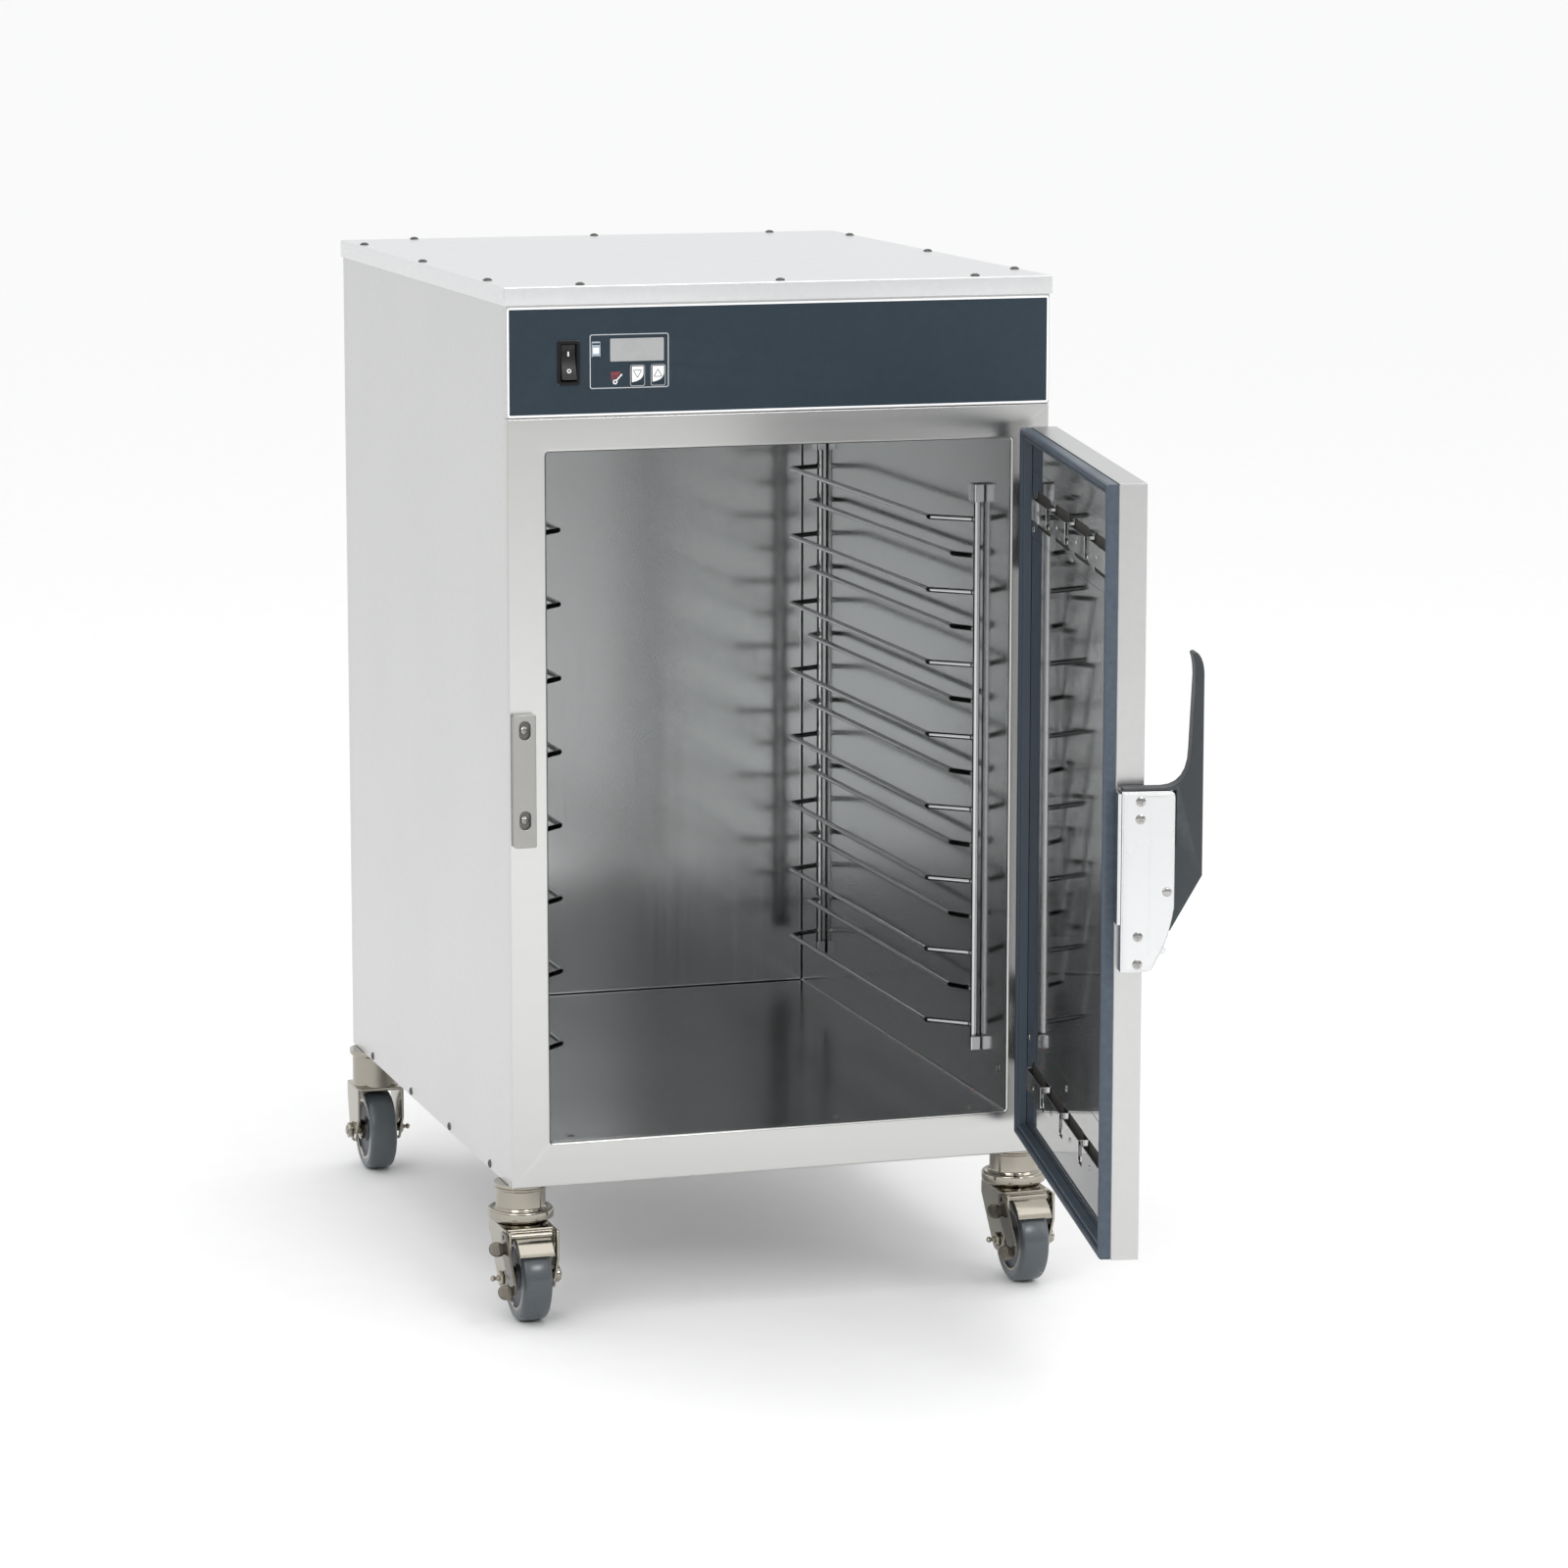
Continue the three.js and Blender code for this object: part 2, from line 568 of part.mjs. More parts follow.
for (const [sideName, side] of [['left', -1], ['right', 1]]) {
  place(`rack_${sideName}`, rack(side), FINISH.chrome);
  for (const [endName, y] of [['front', ROD_FRONT_Y], ['back', ROD_BACK_Y]]) {
    for (const level of ['top', 'bottom']) {
      place(`rack_clip_${sideName}_${endName}_${level}`, rackClip(side, y, level), FINISH.chrome);
    }
  }
}

// ---------------------------------------------------------------- door

// The door is drawn closed in its own group, which then turns about the hinge pins.
const door = new THREE.Group();
door.position.set(HINGE_PIN.x, HINGE_PIN.y, 0);
door.rotation.z = THREE.MathUtils.degToRad(DOOR_OPEN_ANGLE);
cabinet.add(door);
const closedDoor = new THREE.Group();
closedDoor.position.set(-HINGE_PIN.x, -HINGE_PIN.y, 0);
door.add(closedDoor);

function doorOuterShell() {
  const wall = FRAME_SHEET;
  const rim = DOOR_INNER_Y - GAP;
  const whole = block([DOOR_LEFT, DOOR_RIGHT], [DOOR_OUTER_Y, rim], [DOOR_BOTTOM, DOOR_TOP]);
  const inside = block(
    [DOOR_LEFT + wall, DOOR_RIGHT - wall], [DOOR_OUTER_Y + wall, rim + 1], [DOOR_BOTTOM + wall, DOOR_TOP - wall]);
  return cut(whole, inside);
}

const INNER_PANEL = {
  x: [DOOR_LEFT + FRAME_SHEET + GAP, DOOR_RIGHT - FRAME_SHEET - GAP],
  y: [DOOR_INNER_Y - FRAME_SHEET, DOOR_INNER_Y],
  z: [DOOR_BOTTOM + FRAME_SHEET + GAP, DOOR_TOP - FRAME_SHEET - GAP],
};

function doorInnerPanel() {
  const windows = Object.values(VENT_BANDS).map((band) => block(
    grown([VENT_WINDOW.left, VENT_WINDOW.right], GAP), grown(INNER_PANEL.y, 1), grown([band.low, band.high], GAP)));
  return cut(block(INNER_PANEL.x, INNER_PANEL.y, INNER_PANEL.z), windows);
}

/** Plate with a row of vents, each a round-ended opening under a raised bridge. */
function ventPlate(band) {
  const middle = (VENT_WINDOW.left + VENT_WINDOW.right) / 2;
  const front = DOOR_INNER_Y + VENT.rise;
  let plate = block([VENT_WINDOW.left, VENT_WINDOW.right], INNER_PANEL.y, [band.low, band.high]);
  const bridges = [];
  for (let i = 0; i < VENT.count; i += 1) {
    const x = middle + (i - (VENT.count - 1) / 2) * VENT.pitch;
    const opening = roundedRectangle(around(x, VENT.width / 2), around(band.bridge, VENT.height / 2), 7);
    plate = cut(plate, alongY(opening, grown(INNER_PANEL.y, 1)));
    const cover = around(band.bridge, VENT.cover / 2);
    const reach = VENT.width / 2 + VENT.sheet;
    bridges.push(cut(
      block(around(x, reach), [INNER_PANEL.y[0], front], cover),
      block(around(x, reach - VENT.sheet), [INNER_PANEL.y[0] - 1, front - VENT.sheet], grown(cover, 1)),
    ));
  }
  return join(plate, bridges);
}

function doorInsulation() {
  const clear = FRAME_SHEET + GAP;
  return block(
    [DOOR_LEFT + clear, DOOR_RIGHT - clear], [DOOR_OUTER_Y + clear, INNER_PANEL.y[0] - GAP],
    [DOOR_BOTTOM + clear, DOOR_TOP - clear]);
}

function doorGasket() {
  const x = [DOOR_LEFT + 0.6, DOOR_RIGHT - 0.6];
  const z = [DOOR_BOTTOM + 0.6, DOOR_TOP - 0.6];
  const y = [DOOR_INNER_Y + GAP, -GAP];
  return cut(block(x, y, z), block(grown(x, -GASKET_WIDTH), grown(y, 1), grown(z, -GASKET_WIDTH)));
}

place('door_outer_shell', doorOuterShell(), FINISH.skin, closedDoor);
place('door_inner_panel', doorInnerPanel(), FINISH.polished, closedDoor);
place('door_vent_top', ventPlate(VENT_BANDS.top), FINISH.polished, closedDoor);
place('door_vent_bottom', ventPlate(VENT_BANDS.bottom), FINISH.polished, closedDoor);
place('door_insulation', doorInsulation(), FINISH.wool, closedDoor);
place('door_gasket', doorGasket(), FINISH.vinyl, closedDoor);

// ---------------------------------------------------------------- hinges

/** The knuckles divide the barrel in three: the cabinet has the outer two, the door the middle. */
const KNUCKLE = HINGE_HEIGHT / 3;

function barrel(z) {
  return bar([HINGE_PIN.x, HINGE_PIN.y, z[0]], [HINGE_PIN.x, HINGE_PIN.y, z[1]], HINGE_PIN.barrel, 20);
}

function frameLeaf(centre) {
  const z = around(centre, HINGE_HEIGHT / 2);
  const plate = block([DOOR_RIGHT + 0.8, BODY_HALF_WIDTH - 1.2], [-2.8, -GAP], z);
  const ends = [[z[0], z[0] + KNUCKLE - GAP], [z[1] - KNUCKLE + GAP, z[1]]];
  const knuckles = ends.map((span) => join(
    barrel(span), block(around(HINGE_PIN.x, 1.6), [HINGE_PIN.y, -2], span)));
  const pin = bar(
    [HINGE_PIN.x, HINGE_PIN.y, z[0] - 2], [HINGE_PIN.x, HINGE_PIN.y, z[1] + 2], HINGE_PIN.radius, 16);
  return join(plate, knuckles, pin);
}

function doorLeaf(centre) {
  const z = around(centre, HINGE_HEIGHT / 2);
  const middle = around(centre, KNUCKLE / 2 - GAP);
  const edge = DOOR_RIGHT + GAP;
  const plate = block([edge, edge + 2.4], [DOOR_OUTER_Y + 2, DOOR_INNER_Y - 3], z);
  const web = block([edge + 1, HINGE_PIN.x], around(HINGE_PIN.y, 3.6), middle);
  const bore = bar(
    [HINGE_PIN.x, HINGE_PIN.y, z[0]], [HINGE_PIN.x, HINGE_PIN.y, z[1]], HINGE_PIN.radius + GAP, 16);
  return cut(join(plate, web, barrel(middle)), bore);
}

for (const [name, centre] of Object.entries(HINGE_CENTRES)) {
  place(`hinge_${name}_frame_leaf`, frameLeaf(centre), FINISH.chrome);
  place(`hinge_${name}_door_leaf`, doorLeaf(centre), FINISH.chrome, closedDoor);
}

// ---------------------------------------------------------------- latch and handle

const LATCH_X = [DOOR_LEFT - GAP - LATCH_WIDTH, DOOR_LEFT - GAP];
const doorOut = (out) => DOOR_INNER_Y - out;   // distance outward from the door's inner face

function strikePlate() {
  const x = [-BODY_HALF_WIDTH + 2.5, DOOR_LEFT - 1.6];
  const z = [LATCH_BOTTOM + 42, LATCH_TOP + 7];
  return alongY(roundedRectangle(x, z, 2), [-9.9, -GAP], 2);
}

/** Latch side outline, as distances outward from the door's inner face and heights. */
function latchOutline() {
  const shape = new THREE.Shape();
  shape.moveTo(doorOut(2), LATCH_BOTTOM);
  shape.lineTo(doorOut(26), LATCH_BOTTOM);
  shape.quadraticCurveTo(doorOut(31), LATCH_BOTTOM + 1, doorOut(34), LATCH_BOTTOM + 10);
  shape.quadraticCurveTo(doorOut(46.5), LATCH_BOTTOM + 30, doorOut(50.7), LATCH_BOTTOM + 60);
  shape.lineTo(doorOut(50.7), LATCH_TOP - 6);
  shape.quadraticCurveTo(doorOut(50.7), LATCH_TOP, doorOut(45), LATCH_TOP);
  shape.lineTo(doorOut(2), LATCH_TOP);
  return shape;
}

function latchHousing() {
  const wall = 1.6;
  const pocketY = [doorOut(60), doorOut(2 + wall)];
  const pocket = block(grown(LATCH_X, -wall), pocketY, [LATCH_BOTTOM + wall, LATCH_TOP - wall]);
  const [pivotY, pivotZ] = [doorOut(LEVER_PIVOT.out), LEVER_PIVOT.z];
  const pin = bar([LATCH_X[0] + 1, pivotY, pivotZ], [LATCH_X[1] - 1, pivotY, pivotZ], LEVER_PIVOT.radius, 16);
  const knob = bar(
    [LATCH_X[0] + 6, doorOut(41), LATCH_BOTTOM + 19], [LATCH_X[1] - 1, doorOut(41), LATCH_BOTTOM + 19], 3.4, 16);
  return join(cut(alongX(latchOutline(), LATCH_X, 6), pocket), pin, knob);
}

function magnetBar() {
  return block(grown(LATCH_X, -2), [DOOR_INNER_Y - 1.7, DOOR_INNER_Y + 1.6], [LATCH_BOTTOM + 44, LATCH_TOP - 2]);
}

/** Pull lever: a paddle standing above the latch, with its stem running down to the pivot. */
function handleLever() {
  const up = (height) => BODY_BOTTOM + height;
  const shape = new THREE.Shape();
  shape.moveTo(doorOut(65), up(592.5));
  shape.quadraticCurveTo(doorOut(68.5), up(597), doorOut(72.4), up(590));
  shape.quadraticCurveTo(doorOut(75.8), up(584), doorOut(76), up(574));
  shape.lineTo(doorOut(76.3), up(390.3));
  shape.lineTo(doorOut(47.2), up(339.5));
  shape.lineTo(doorOut(38), up(345));
  shape.lineTo(doorOut(38), up(392));
  shape.lineTo(doorOut(51.4), up(420));
  shape.lineTo(doorOut(51.4), up(469));
  shape.lineTo(doorOut(3), up(469));
  shape.lineTo(doorOut(3), up(471.2));
  shape.lineTo(doorOut(40), up(471.2));
  shape.quadraticCurveTo(doorOut(64.5), up(472), doorOut(65), up(505));
  shape.lineTo(doorOut(68), up(572));
  shape.quadraticCurveTo(doorOut(67.8), up(586), doorOut(65), up(592.5));
  const x = grown(LATCH_X, -2.4);
  const [pivotY, pivotZ] = [doorOut(LEVER_PIVOT.out), LEVER_PIVOT.z];
  const bore = bar([x[0] - 1, pivotY, pivotZ], [x[1] + 1, pivotY, pivotZ], LEVER_PIVOT.radius + GAP, 16);
  return cut(alongX(shape, x, 6), bore);
}

place('strike_plate', strikePlate(), FINISH.bright);
place('latch_housing', latchHousing(), FINISH.chrome, closedDoor);
place('magnet_bar', magnetBar(), FINISH.iron, closedDoor);
place('handle_lever', handleLever(), FINISH.lever, closedDoor);

// ---------------------------------------------------------------- casters

function wheel(x, y) {
  const half = TREAD_WIDTH / 2;
  const hub = 19;
  const profile = [
    [AXLE_RADIUS + 0.4, -hub], [11, -hub], [13, -11], [29, -11], [33, -half], [41, -half],
    [WHEEL_RADIUS - 0.8, -half + 4.5], [WHEEL_RADIUS, 0], [WHEEL_RADIUS - 0.8, half - 4.5],
    [41, half], [33, half], [29, 11], [13, 11], [11, hub], [AXLE_RADIUS + 0.4, hub], [AXLE_RADIUS + 0.4, -hub],
  ];
  const geometry = new THREE.LatheGeometry(profile.map(([r, h]) => new THREE.Vector2(r, h)), 36);
  geometry.rotateZ(-Math.PI / 2);
  geometry.translate(x, y, WHEEL_RADIUS);
  return solid(geometry);
}

/** Axle bolt with its nut on one side and a grease nipple on the other. */
function axle(x, y, nutSide) {
  const part = (from, to, radius, sides = 16) =>
    bar([x + nutSide * from, y, WHEEL_RADIUS], [x + nutSide * to, y, WHEEL_RADIUS], radius, sides);
  return join(
    part(-FORK_OUTER - 1, FORK_OUTER + 8, AXLE_RADIUS),
    part(FORK_OUTER + GAP, FORK_OUTER + 6, 8.5, 6),
    part(-FORK_OUTER - 3.5, -FORK_OUTER - GAP, 7.5, 6),
    part(-FORK_OUTER - 9, -FORK_OUTER - 3, 2.2, 10),
    part(-FORK_OUTER - 12.5, -FORK_OUTER - 9, 3.2, 10),
  );
}

/** Fork leg outline in Y and Z, from the top plate down to a round end at the axle. */
function legOutline(y, front, back, shoulder) {
  const end = 13;
  const axleY = y - (front > 30 ? CASTER_TRAIL : 0);
  const shape = new THREE.Shape();
  shape.moveTo(y - front, FORK_TOP);
  shape.lineTo(y - front, shoulder);
  shape.lineTo(axleY - end, WHEEL_RADIUS);
  shape.absarc(axleY, WHEEL_RADIUS, end, Math.PI, 2 * Math.PI, false);
  shape.lineTo(y + back, FORK_TOP - 12);
  shape.lineTo(y + back, FORK_TOP);
  return shape;
}

const BRAKE = { forward: 45.5, z: 90.4, shaft: 3 };

function forkBody(x, y, front, back, plateFront, axleY) {
  const outlineShape = legOutline(y, front, back, 68);
  const legs = [-1, 1].map((side) => {
    const span = [side * FORK_INNER, side * FORK_OUTER].map((offset) => x + offset).sort((a, b) => a - b);
    return alongX(outlineShape, span, 6);
  });
  const plate = block(around(x, FORK_OUTER), [y - plateFront, y + back], [FORK_TOP - 4, FORK_TOP]);
  const bore = bar([x - 40, axleY, WHEEL_RADIUS], [x + 40, axleY, WHEEL_RADIUS], AXLE_RADIUS + GAP, 16);
  return cut(join(legs, plate), bore);
}

function swivelFork(x, y) {
  const shaftY = y - BRAKE.forward;
  const shaftHole = bar([x - 40, shaftY, BRAKE.z], [x, shaftY, BRAKE.z], BRAKE.shaft + GAP, 16);
  return cut(forkBody(x, y, 53, 26, 39, y - CASTER_TRAIL), shaftHole);
}

function swivelMount(x, y) {
  return turned([
    [0, FORK_TOP + GAP], [30, FORK_TOP + GAP], [33, FORK_TOP + 3], [33, FORK_TOP + 11], [30, FORK_TOP + 14],
    [26, FORK_TOP + 15], [25, FORK_TOP + 17], [25, BODY_BOTTOM - 4], [26.5, BODY_BOTTOM - 3],
    [26.5, BODY_BOTTOM - GAP], [0, BODY_BOTTOM - GAP],
  ], x, y);
}

function rigidFork(x, y) {
  const collar = turned([
    [0, FORK_TOP - 1], [25, FORK_TOP - 1], [25, BODY_BOTTOM - 8], [28, BODY_BOTTOM - 5],
    [28, BODY_BOTTOM - GAP], [0, BODY_BOTTOM - GAP],
  ], x, y);
  return join(forkBody(x, y, 26, 26, 26, y), collar);
}

/** Foot brake: shoe over the tread on a cross shaft, and a side plate with two pedal tabs. */
function brake(x, y) {
  const wheelY = y - CASTER_TRAIL;
  const shaftY = y - BRAKE.forward;
  const shaft = bar([x - FORK_OUTER - 3.5, shaftY, BRAKE.z], [x + 20, shaftY, BRAKE.z], BRAKE.shaft, 16);
  const shoe = new THREE.Shape();
  const angle = (degrees) => THREE.MathUtils.degToRad(90 + degrees);
  shoe.absarc(wheelY, WHEEL_RADIUS, WHEEL_RADIUS + 5.4, angle(20), angle(54), false);
  shoe.absarc(wheelY, WHEEL_RADIUS, WHEEL_RADIUS + 2.9, angle(54), angle(20), true);
  const sideX = [x - FORK_OUTER - 3.5, x - FORK_OUTER - 1];
  const lever = outline([
    [shaftY + 9, BRAKE.z + 5], [shaftY + 9, BRAKE.z - 16], [shaftY - 28, BRAKE.z - 54],
    [shaftY - 42, BRAKE.z - 48], [shaftY - 42, BRAKE.z - 38], [shaftY - 7, BRAKE.z + 5],
  ]);
  const tab = (tabY, tabZ) => {
    const width = [x - FORK_OUTER - 18, sideX[1] - 0.4];
    return alongZ(roundedRectangle(width, around(tabY, 8), 7.5), around(tabZ, 1.4), 5);
  };
  return join(
    shaft, alongX(shoe, around(x, 18), 8), alongX(lever, sideX),
    tab(shaftY + 1, BRAKE.z - 12), tab(shaftY - 34, BRAKE.z - 47),
  );
}

for (const [sideName, side] of [['left', -1], ['right', 1]]) {
  const x = side * CASTER_X;
  const front = `caster_front_${sideName}`;
  place(`${front}_mount`, swivelMount(x, CASTER_FRONT_Y), FINISH.chrome);
  place(`${front}_fork`, swivelFork(x, CASTER_FRONT_Y), FINISH.chrome);
  place(`${front}_wheel`, wheel(x, CASTER_FRONT_Y - CASTER_TRAIL), FINISH.wheel);
  place(`${front}_axle`, axle(x, CASTER_FRONT_Y - CASTER_TRAIL, 1), FINISH.chrome);
  place(`${front}_brake`, brake(x, CASTER_FRONT_Y), FINISH.chrome);
  const rear = `caster_rear_${sideName}`;
  place(`${rear}_fork`, rigidFork(x, CASTER_BACK_Y), FINISH.chrome);
  place(`${rear}_wheel`, wheel(x, CASTER_BACK_Y), FINISH.wheel);
  place(`${rear}_axle`, axle(x, CASTER_BACK_Y, -1), FINISH.chrome);
}

// ---------------------------------------------------------------- origin

// The origin is the middle of the whole part's footprint, at the floor.
const part = new THREE.Group();
part.add(cabinet);
const extent = new THREE.Box3().setFromObject(part);
const centre = extent.getCenter(new THREE.Vector3());
cabinet.position.set(-centre.x, -centre.y, -extent.min.z);

export default part;
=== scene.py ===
"""Finished look of a half-height heated food holding cabinet on casters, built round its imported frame.

Shapes are drawn in millimetres: X across from the cabinet's centre plane, Y back from the face of the
front frame, Z up from the floor. The door's pieces are drawn closed and then swung open with the door.
"""

import json
import math

import bmesh
import bpy
from mathutils import Matrix, Vector
from mathutils.geometry import tessellate_polygon

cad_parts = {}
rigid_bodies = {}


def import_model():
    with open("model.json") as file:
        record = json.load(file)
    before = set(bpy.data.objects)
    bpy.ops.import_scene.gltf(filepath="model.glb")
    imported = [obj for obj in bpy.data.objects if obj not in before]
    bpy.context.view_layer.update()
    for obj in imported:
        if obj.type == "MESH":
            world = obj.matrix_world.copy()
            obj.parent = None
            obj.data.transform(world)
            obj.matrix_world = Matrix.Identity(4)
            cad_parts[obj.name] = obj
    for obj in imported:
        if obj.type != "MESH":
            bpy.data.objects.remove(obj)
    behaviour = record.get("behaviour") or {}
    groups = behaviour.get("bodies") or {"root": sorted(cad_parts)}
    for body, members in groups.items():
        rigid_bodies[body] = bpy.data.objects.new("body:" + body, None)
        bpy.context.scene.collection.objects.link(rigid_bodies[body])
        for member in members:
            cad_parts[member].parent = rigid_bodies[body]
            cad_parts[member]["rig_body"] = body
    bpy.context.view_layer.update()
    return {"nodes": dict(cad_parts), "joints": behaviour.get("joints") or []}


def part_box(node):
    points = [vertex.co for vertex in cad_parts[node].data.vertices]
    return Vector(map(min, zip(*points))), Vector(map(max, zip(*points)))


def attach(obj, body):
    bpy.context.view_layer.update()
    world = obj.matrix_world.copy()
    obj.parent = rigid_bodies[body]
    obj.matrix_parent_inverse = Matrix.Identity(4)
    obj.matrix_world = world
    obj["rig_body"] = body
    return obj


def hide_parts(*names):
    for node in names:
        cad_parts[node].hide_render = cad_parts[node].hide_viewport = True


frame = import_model()

MM = 0.001
DOOR_OPEN_ANGLE = math.radians(79)

cover_low, cover_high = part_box("top_cover")
face_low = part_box("front_frame")[0]
CABINET = Matrix.Translation(((cover_low.x + cover_high.x) / 2, face_low.y, 0)) @ Matrix.Scale(MM, 4)
door_hinge = next(joint for joint in frame["joints"] if joint["name"] == "door_hinge")
pin = CABINET.inverted() @ Vector(door_hinge["pos_m"])
TO_PIN = Matrix.Translation((pin.x, pin.y, 0))
DOOR = CABINET @ TO_PIN @ Matrix.Rotation(DOOR_OPEN_ANGLE, 4, "Z") @ TO_PIN.inverted()


def box_mm(name):
    """Lowest and highest corner of a cabinet node, in millimetres."""
    return [CABINET.inverted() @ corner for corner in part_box(name)]


# ---------------------------------------------------------------- shader effects

FLAT_POINTINESS = 0.51


def node(tree, kind, inputs=None, **settings):
    made = tree.nodes.new(kind)
    for name, value in settings.items():
        setattr(made, name, value)
    for name, value in (inputs or {}).items():
        socket = made.inputs[name]
        if isinstance(value, bpy.types.NodeSocket):
            tree.links.new(value, socket)
        else:
            socket.default_value = value
    return made


def effect(name, inputs, outputs):
    """Empty shader node group with named sockets, and its two end nodes."""
    group = bpy.data.node_groups.new(name, "ShaderNodeTree")
    for title, kind, value in inputs:
        socket = group.interface.new_socket(name=title, in_out="INPUT", socket_type=kind)
        socket.default_value = value
    for title, kind in outputs:
        group.interface.new_socket(name=title, in_out="OUTPUT", socket_type=kind)
    return group, group.nodes.new("NodeGroupInput").outputs, group.nodes.new("NodeGroupOutput")


def smooth_step(tree, value, low, high):
    """Nothing below the low value, one above the high value, and a smooth rise between them."""
    limits = {"Value": value, "From Min": low, "From Max": high}
    return node(tree, "ShaderNodeMapRange", limits, interpolation_type="SMOOTHSTEP").outputs[0]


def place_noise(group, scale, detail, stretch=None):
    """Noise fixed to the object's own place, drawn out along one axis by a stretch."""
    where = node(group, "ShaderNodeTexCoord").outputs["Object"]
    if stretch is not None:
        where = node(group, "ShaderNodeVectorMath", {0: where, 1: stretch}, operation="MULTIPLY").outputs[0]
    return node(group, "ShaderNodeTexNoise", {"Vector": where, "Scale": scale, "Detail": detail}).outputs[0]


def brushed_grain():
    """Long abrasive scratches: fine lines for the bump, broad bands for the tone."""
    group, given, ends = effect(
        "brushed_grain",
        [("Stretch", "NodeSocketVector", (1, 1, 1))],
        [("Lines", "NodeSocketFloat"), ("Bands", "NodeSocketFloat")],
    )
    lines = place_noise(group, 900, 2, given["Stretch"])
    bands = place_noise(group, 130, 3, given["Stretch"])
    group.links.new(lines, ends.inputs["Lines"])
    group.links.new(bands, ends.inputs["Bands"])
    return group


def handling_marks():
    """Wiped patches left by hands and cloths."""
    group, given, ends = effect(
        "handling_marks",
        [("Size", "NodeSocketFloat", 6.0)],
        [("Mask", "NodeSocketFloat")],
    )
    patches = place_noise(group, given["Size"], 4)
    group.links.new(smooth_step(group, patches, 0.35, 0.7), ends.inputs["Mask"])
    return group


def moulded_texture():
    """Fine pebbled skin of moulded or cast plastic."""
    group, given, ends = effect(
        "moulded_texture",
        [("Fineness", "NodeSocketFloat", 900.0)],
        [("Height", "NodeSocketFloat"), ("Cloud", "NodeSocketFloat")],
    )
    group.links.new(place_noise(group, given["Fineness"], 3), ends.inputs["Height"])
    group.links.new(place_noise(group, 25, 3), ends.inputs["Cloud"])
    return group


def edge_wear():
    """Where an outside edge is rubbed."""
    group, given, ends = effect(
        "edge_wear",
        [("Reach", "NodeSocketFloat", 0.06)],
        [("Mask", "NodeSocketFloat")],
    )
    sharp = node(group, "ShaderNodeNewGeometry").outputs["Pointiness"]
    full = node(group, "ShaderNodeMath", {0: FLAT_POINTINESS, 1: given["Reach"]}, operation="ADD")
    worn = smooth_step(group, sharp, FLAT_POINTINESS, full.outputs[0])
    broken = place_noise(group, 160, 3)
    patchy = node(group, "ShaderNodeMath", {0: worn, 1: broken}, operation="MULTIPLY").outputs[0]
    group.links.new(patchy, ends.inputs["Mask"])
    return group


GRAIN = brushed_grain()
MARKS = handling_marks()
MOULDED = moulded_texture()
WEAR = edge_wear()


def use(tree, group, **values):
    made = tree.nodes.new("ShaderNodeGroup")
    made.node_tree = group
    for name, value in values.items():
        made.inputs[name].default_value = value
    return made.outputs


def blend_colour(tree, mask, base, other):
    blend = node(tree, "ShaderNodeMix", {0: mask, 6: (*base, 1), 7: (*other, 1)}, data_type="RGBA")
    return blend.outputs[2]


def spread(tree, value, low, high):
    return node(tree, "ShaderNodeMapRange", {"Value": value, "To Min": low, "To Max": high}).outputs[0]


def bare_material(name, **sockets):
    """Material with one Principled shader, its uniform values set on its own sockets."""
    material = bpy.data.materials.new(name)
    material.use_nodes = True
    tree = material.node_tree
    tree.nodes.clear()
    values = {key.replace("_", " "): value for key, value in sockets.items()}
    shader = node(tree, "ShaderNodeBsdfPrincipled", values)
    node(tree, "ShaderNodeOutputMaterial", {"Surface": shader.outputs[0]})
    return material, tree, shader.inputs


def steel(name, colour, roughness, stretch, grain=0.25, marks=0.03, mark_size=6.0):
    """Bare or plated metal with a rolled or brushed grain, wiped patches and rubbed edges."""
    material, tree, shader = bare_material(name, Metallic=1.0)
    lines = use(tree, GRAIN, Stretch=stretch)
    wiped = use(tree, MARKS, Size=mark_size)
    rubbed = use(tree, WEAR)
    dull = [0.93 * part for part in colour]
    banded = blend_colour(tree, spread(tree, lines["Bands"], 0.0, 1.0), dull, colour)
    bright = [min(1.0, 1.06 * part) for part in colour]
    worn = node(tree, "ShaderNodeMix", {0: rubbed["Mask"], 6: banded, 7: (*bright, 1)}, data_type="RGBA")
    tree.links.new(worn.outputs[2], shader["Base Color"])
    from_grain = spread(tree, lines["Bands"], roughness - marks, roughness + marks)
    smeared = spread(tree, wiped["Mask"], 0.0, marks)
    total = node(tree, "ShaderNodeMath", {0: from_grain, 1: smeared}, operation="ADD")
    tree.links.new(total.outputs[0], shader["Roughness"])
    bump = node(tree, "ShaderNodeBump", {"Height": lines["Lines"], "Strength": grain, "Distance": 0.0001})
    tree.links.new(bump.outputs[0], shader["Normal"])
    return material


def plastic(name, colour, roughness, fineness=900.0, relief=0.15, **sockets):
    """Moulded, printed or cast plastic with a pebbled skin and rubbed edges."""
    material, tree, shader = bare_material(name, **sockets)
    skin = use(tree, MOULDED, Fineness=fineness)
    wiped = use(tree, MARKS, Size=14.0)
    rubbed = use(tree, WEAR)
    dull = [0.9 * part for part in colour]
    fresh = [min(1, 1.08 * part) for part in colour]
    pale = [min(1, 1.5 * part + 0.02) for part in colour]
    clouded = blend_colour(tree, skin["Cloud"], dull, fresh)
    worn = node(tree, "ShaderNodeMix", {0: rubbed["Mask"], 6: clouded, 7: (*pale, 1)}, data_type="RGBA")
    tree.links.new(worn.outputs[2], shader["Base Color"])
    tree.links.new(spread(tree, wiped["Mask"], roughness - 0.05, roughness + 0.08), shader["Roughness"])
    bump = node(tree, "ShaderNodeBump", {"Height": skin["Height"], "Strength": relief, "Distance": 0.0002})
    tree.links.new(bump.outputs[0], shader["Normal"])
    return material


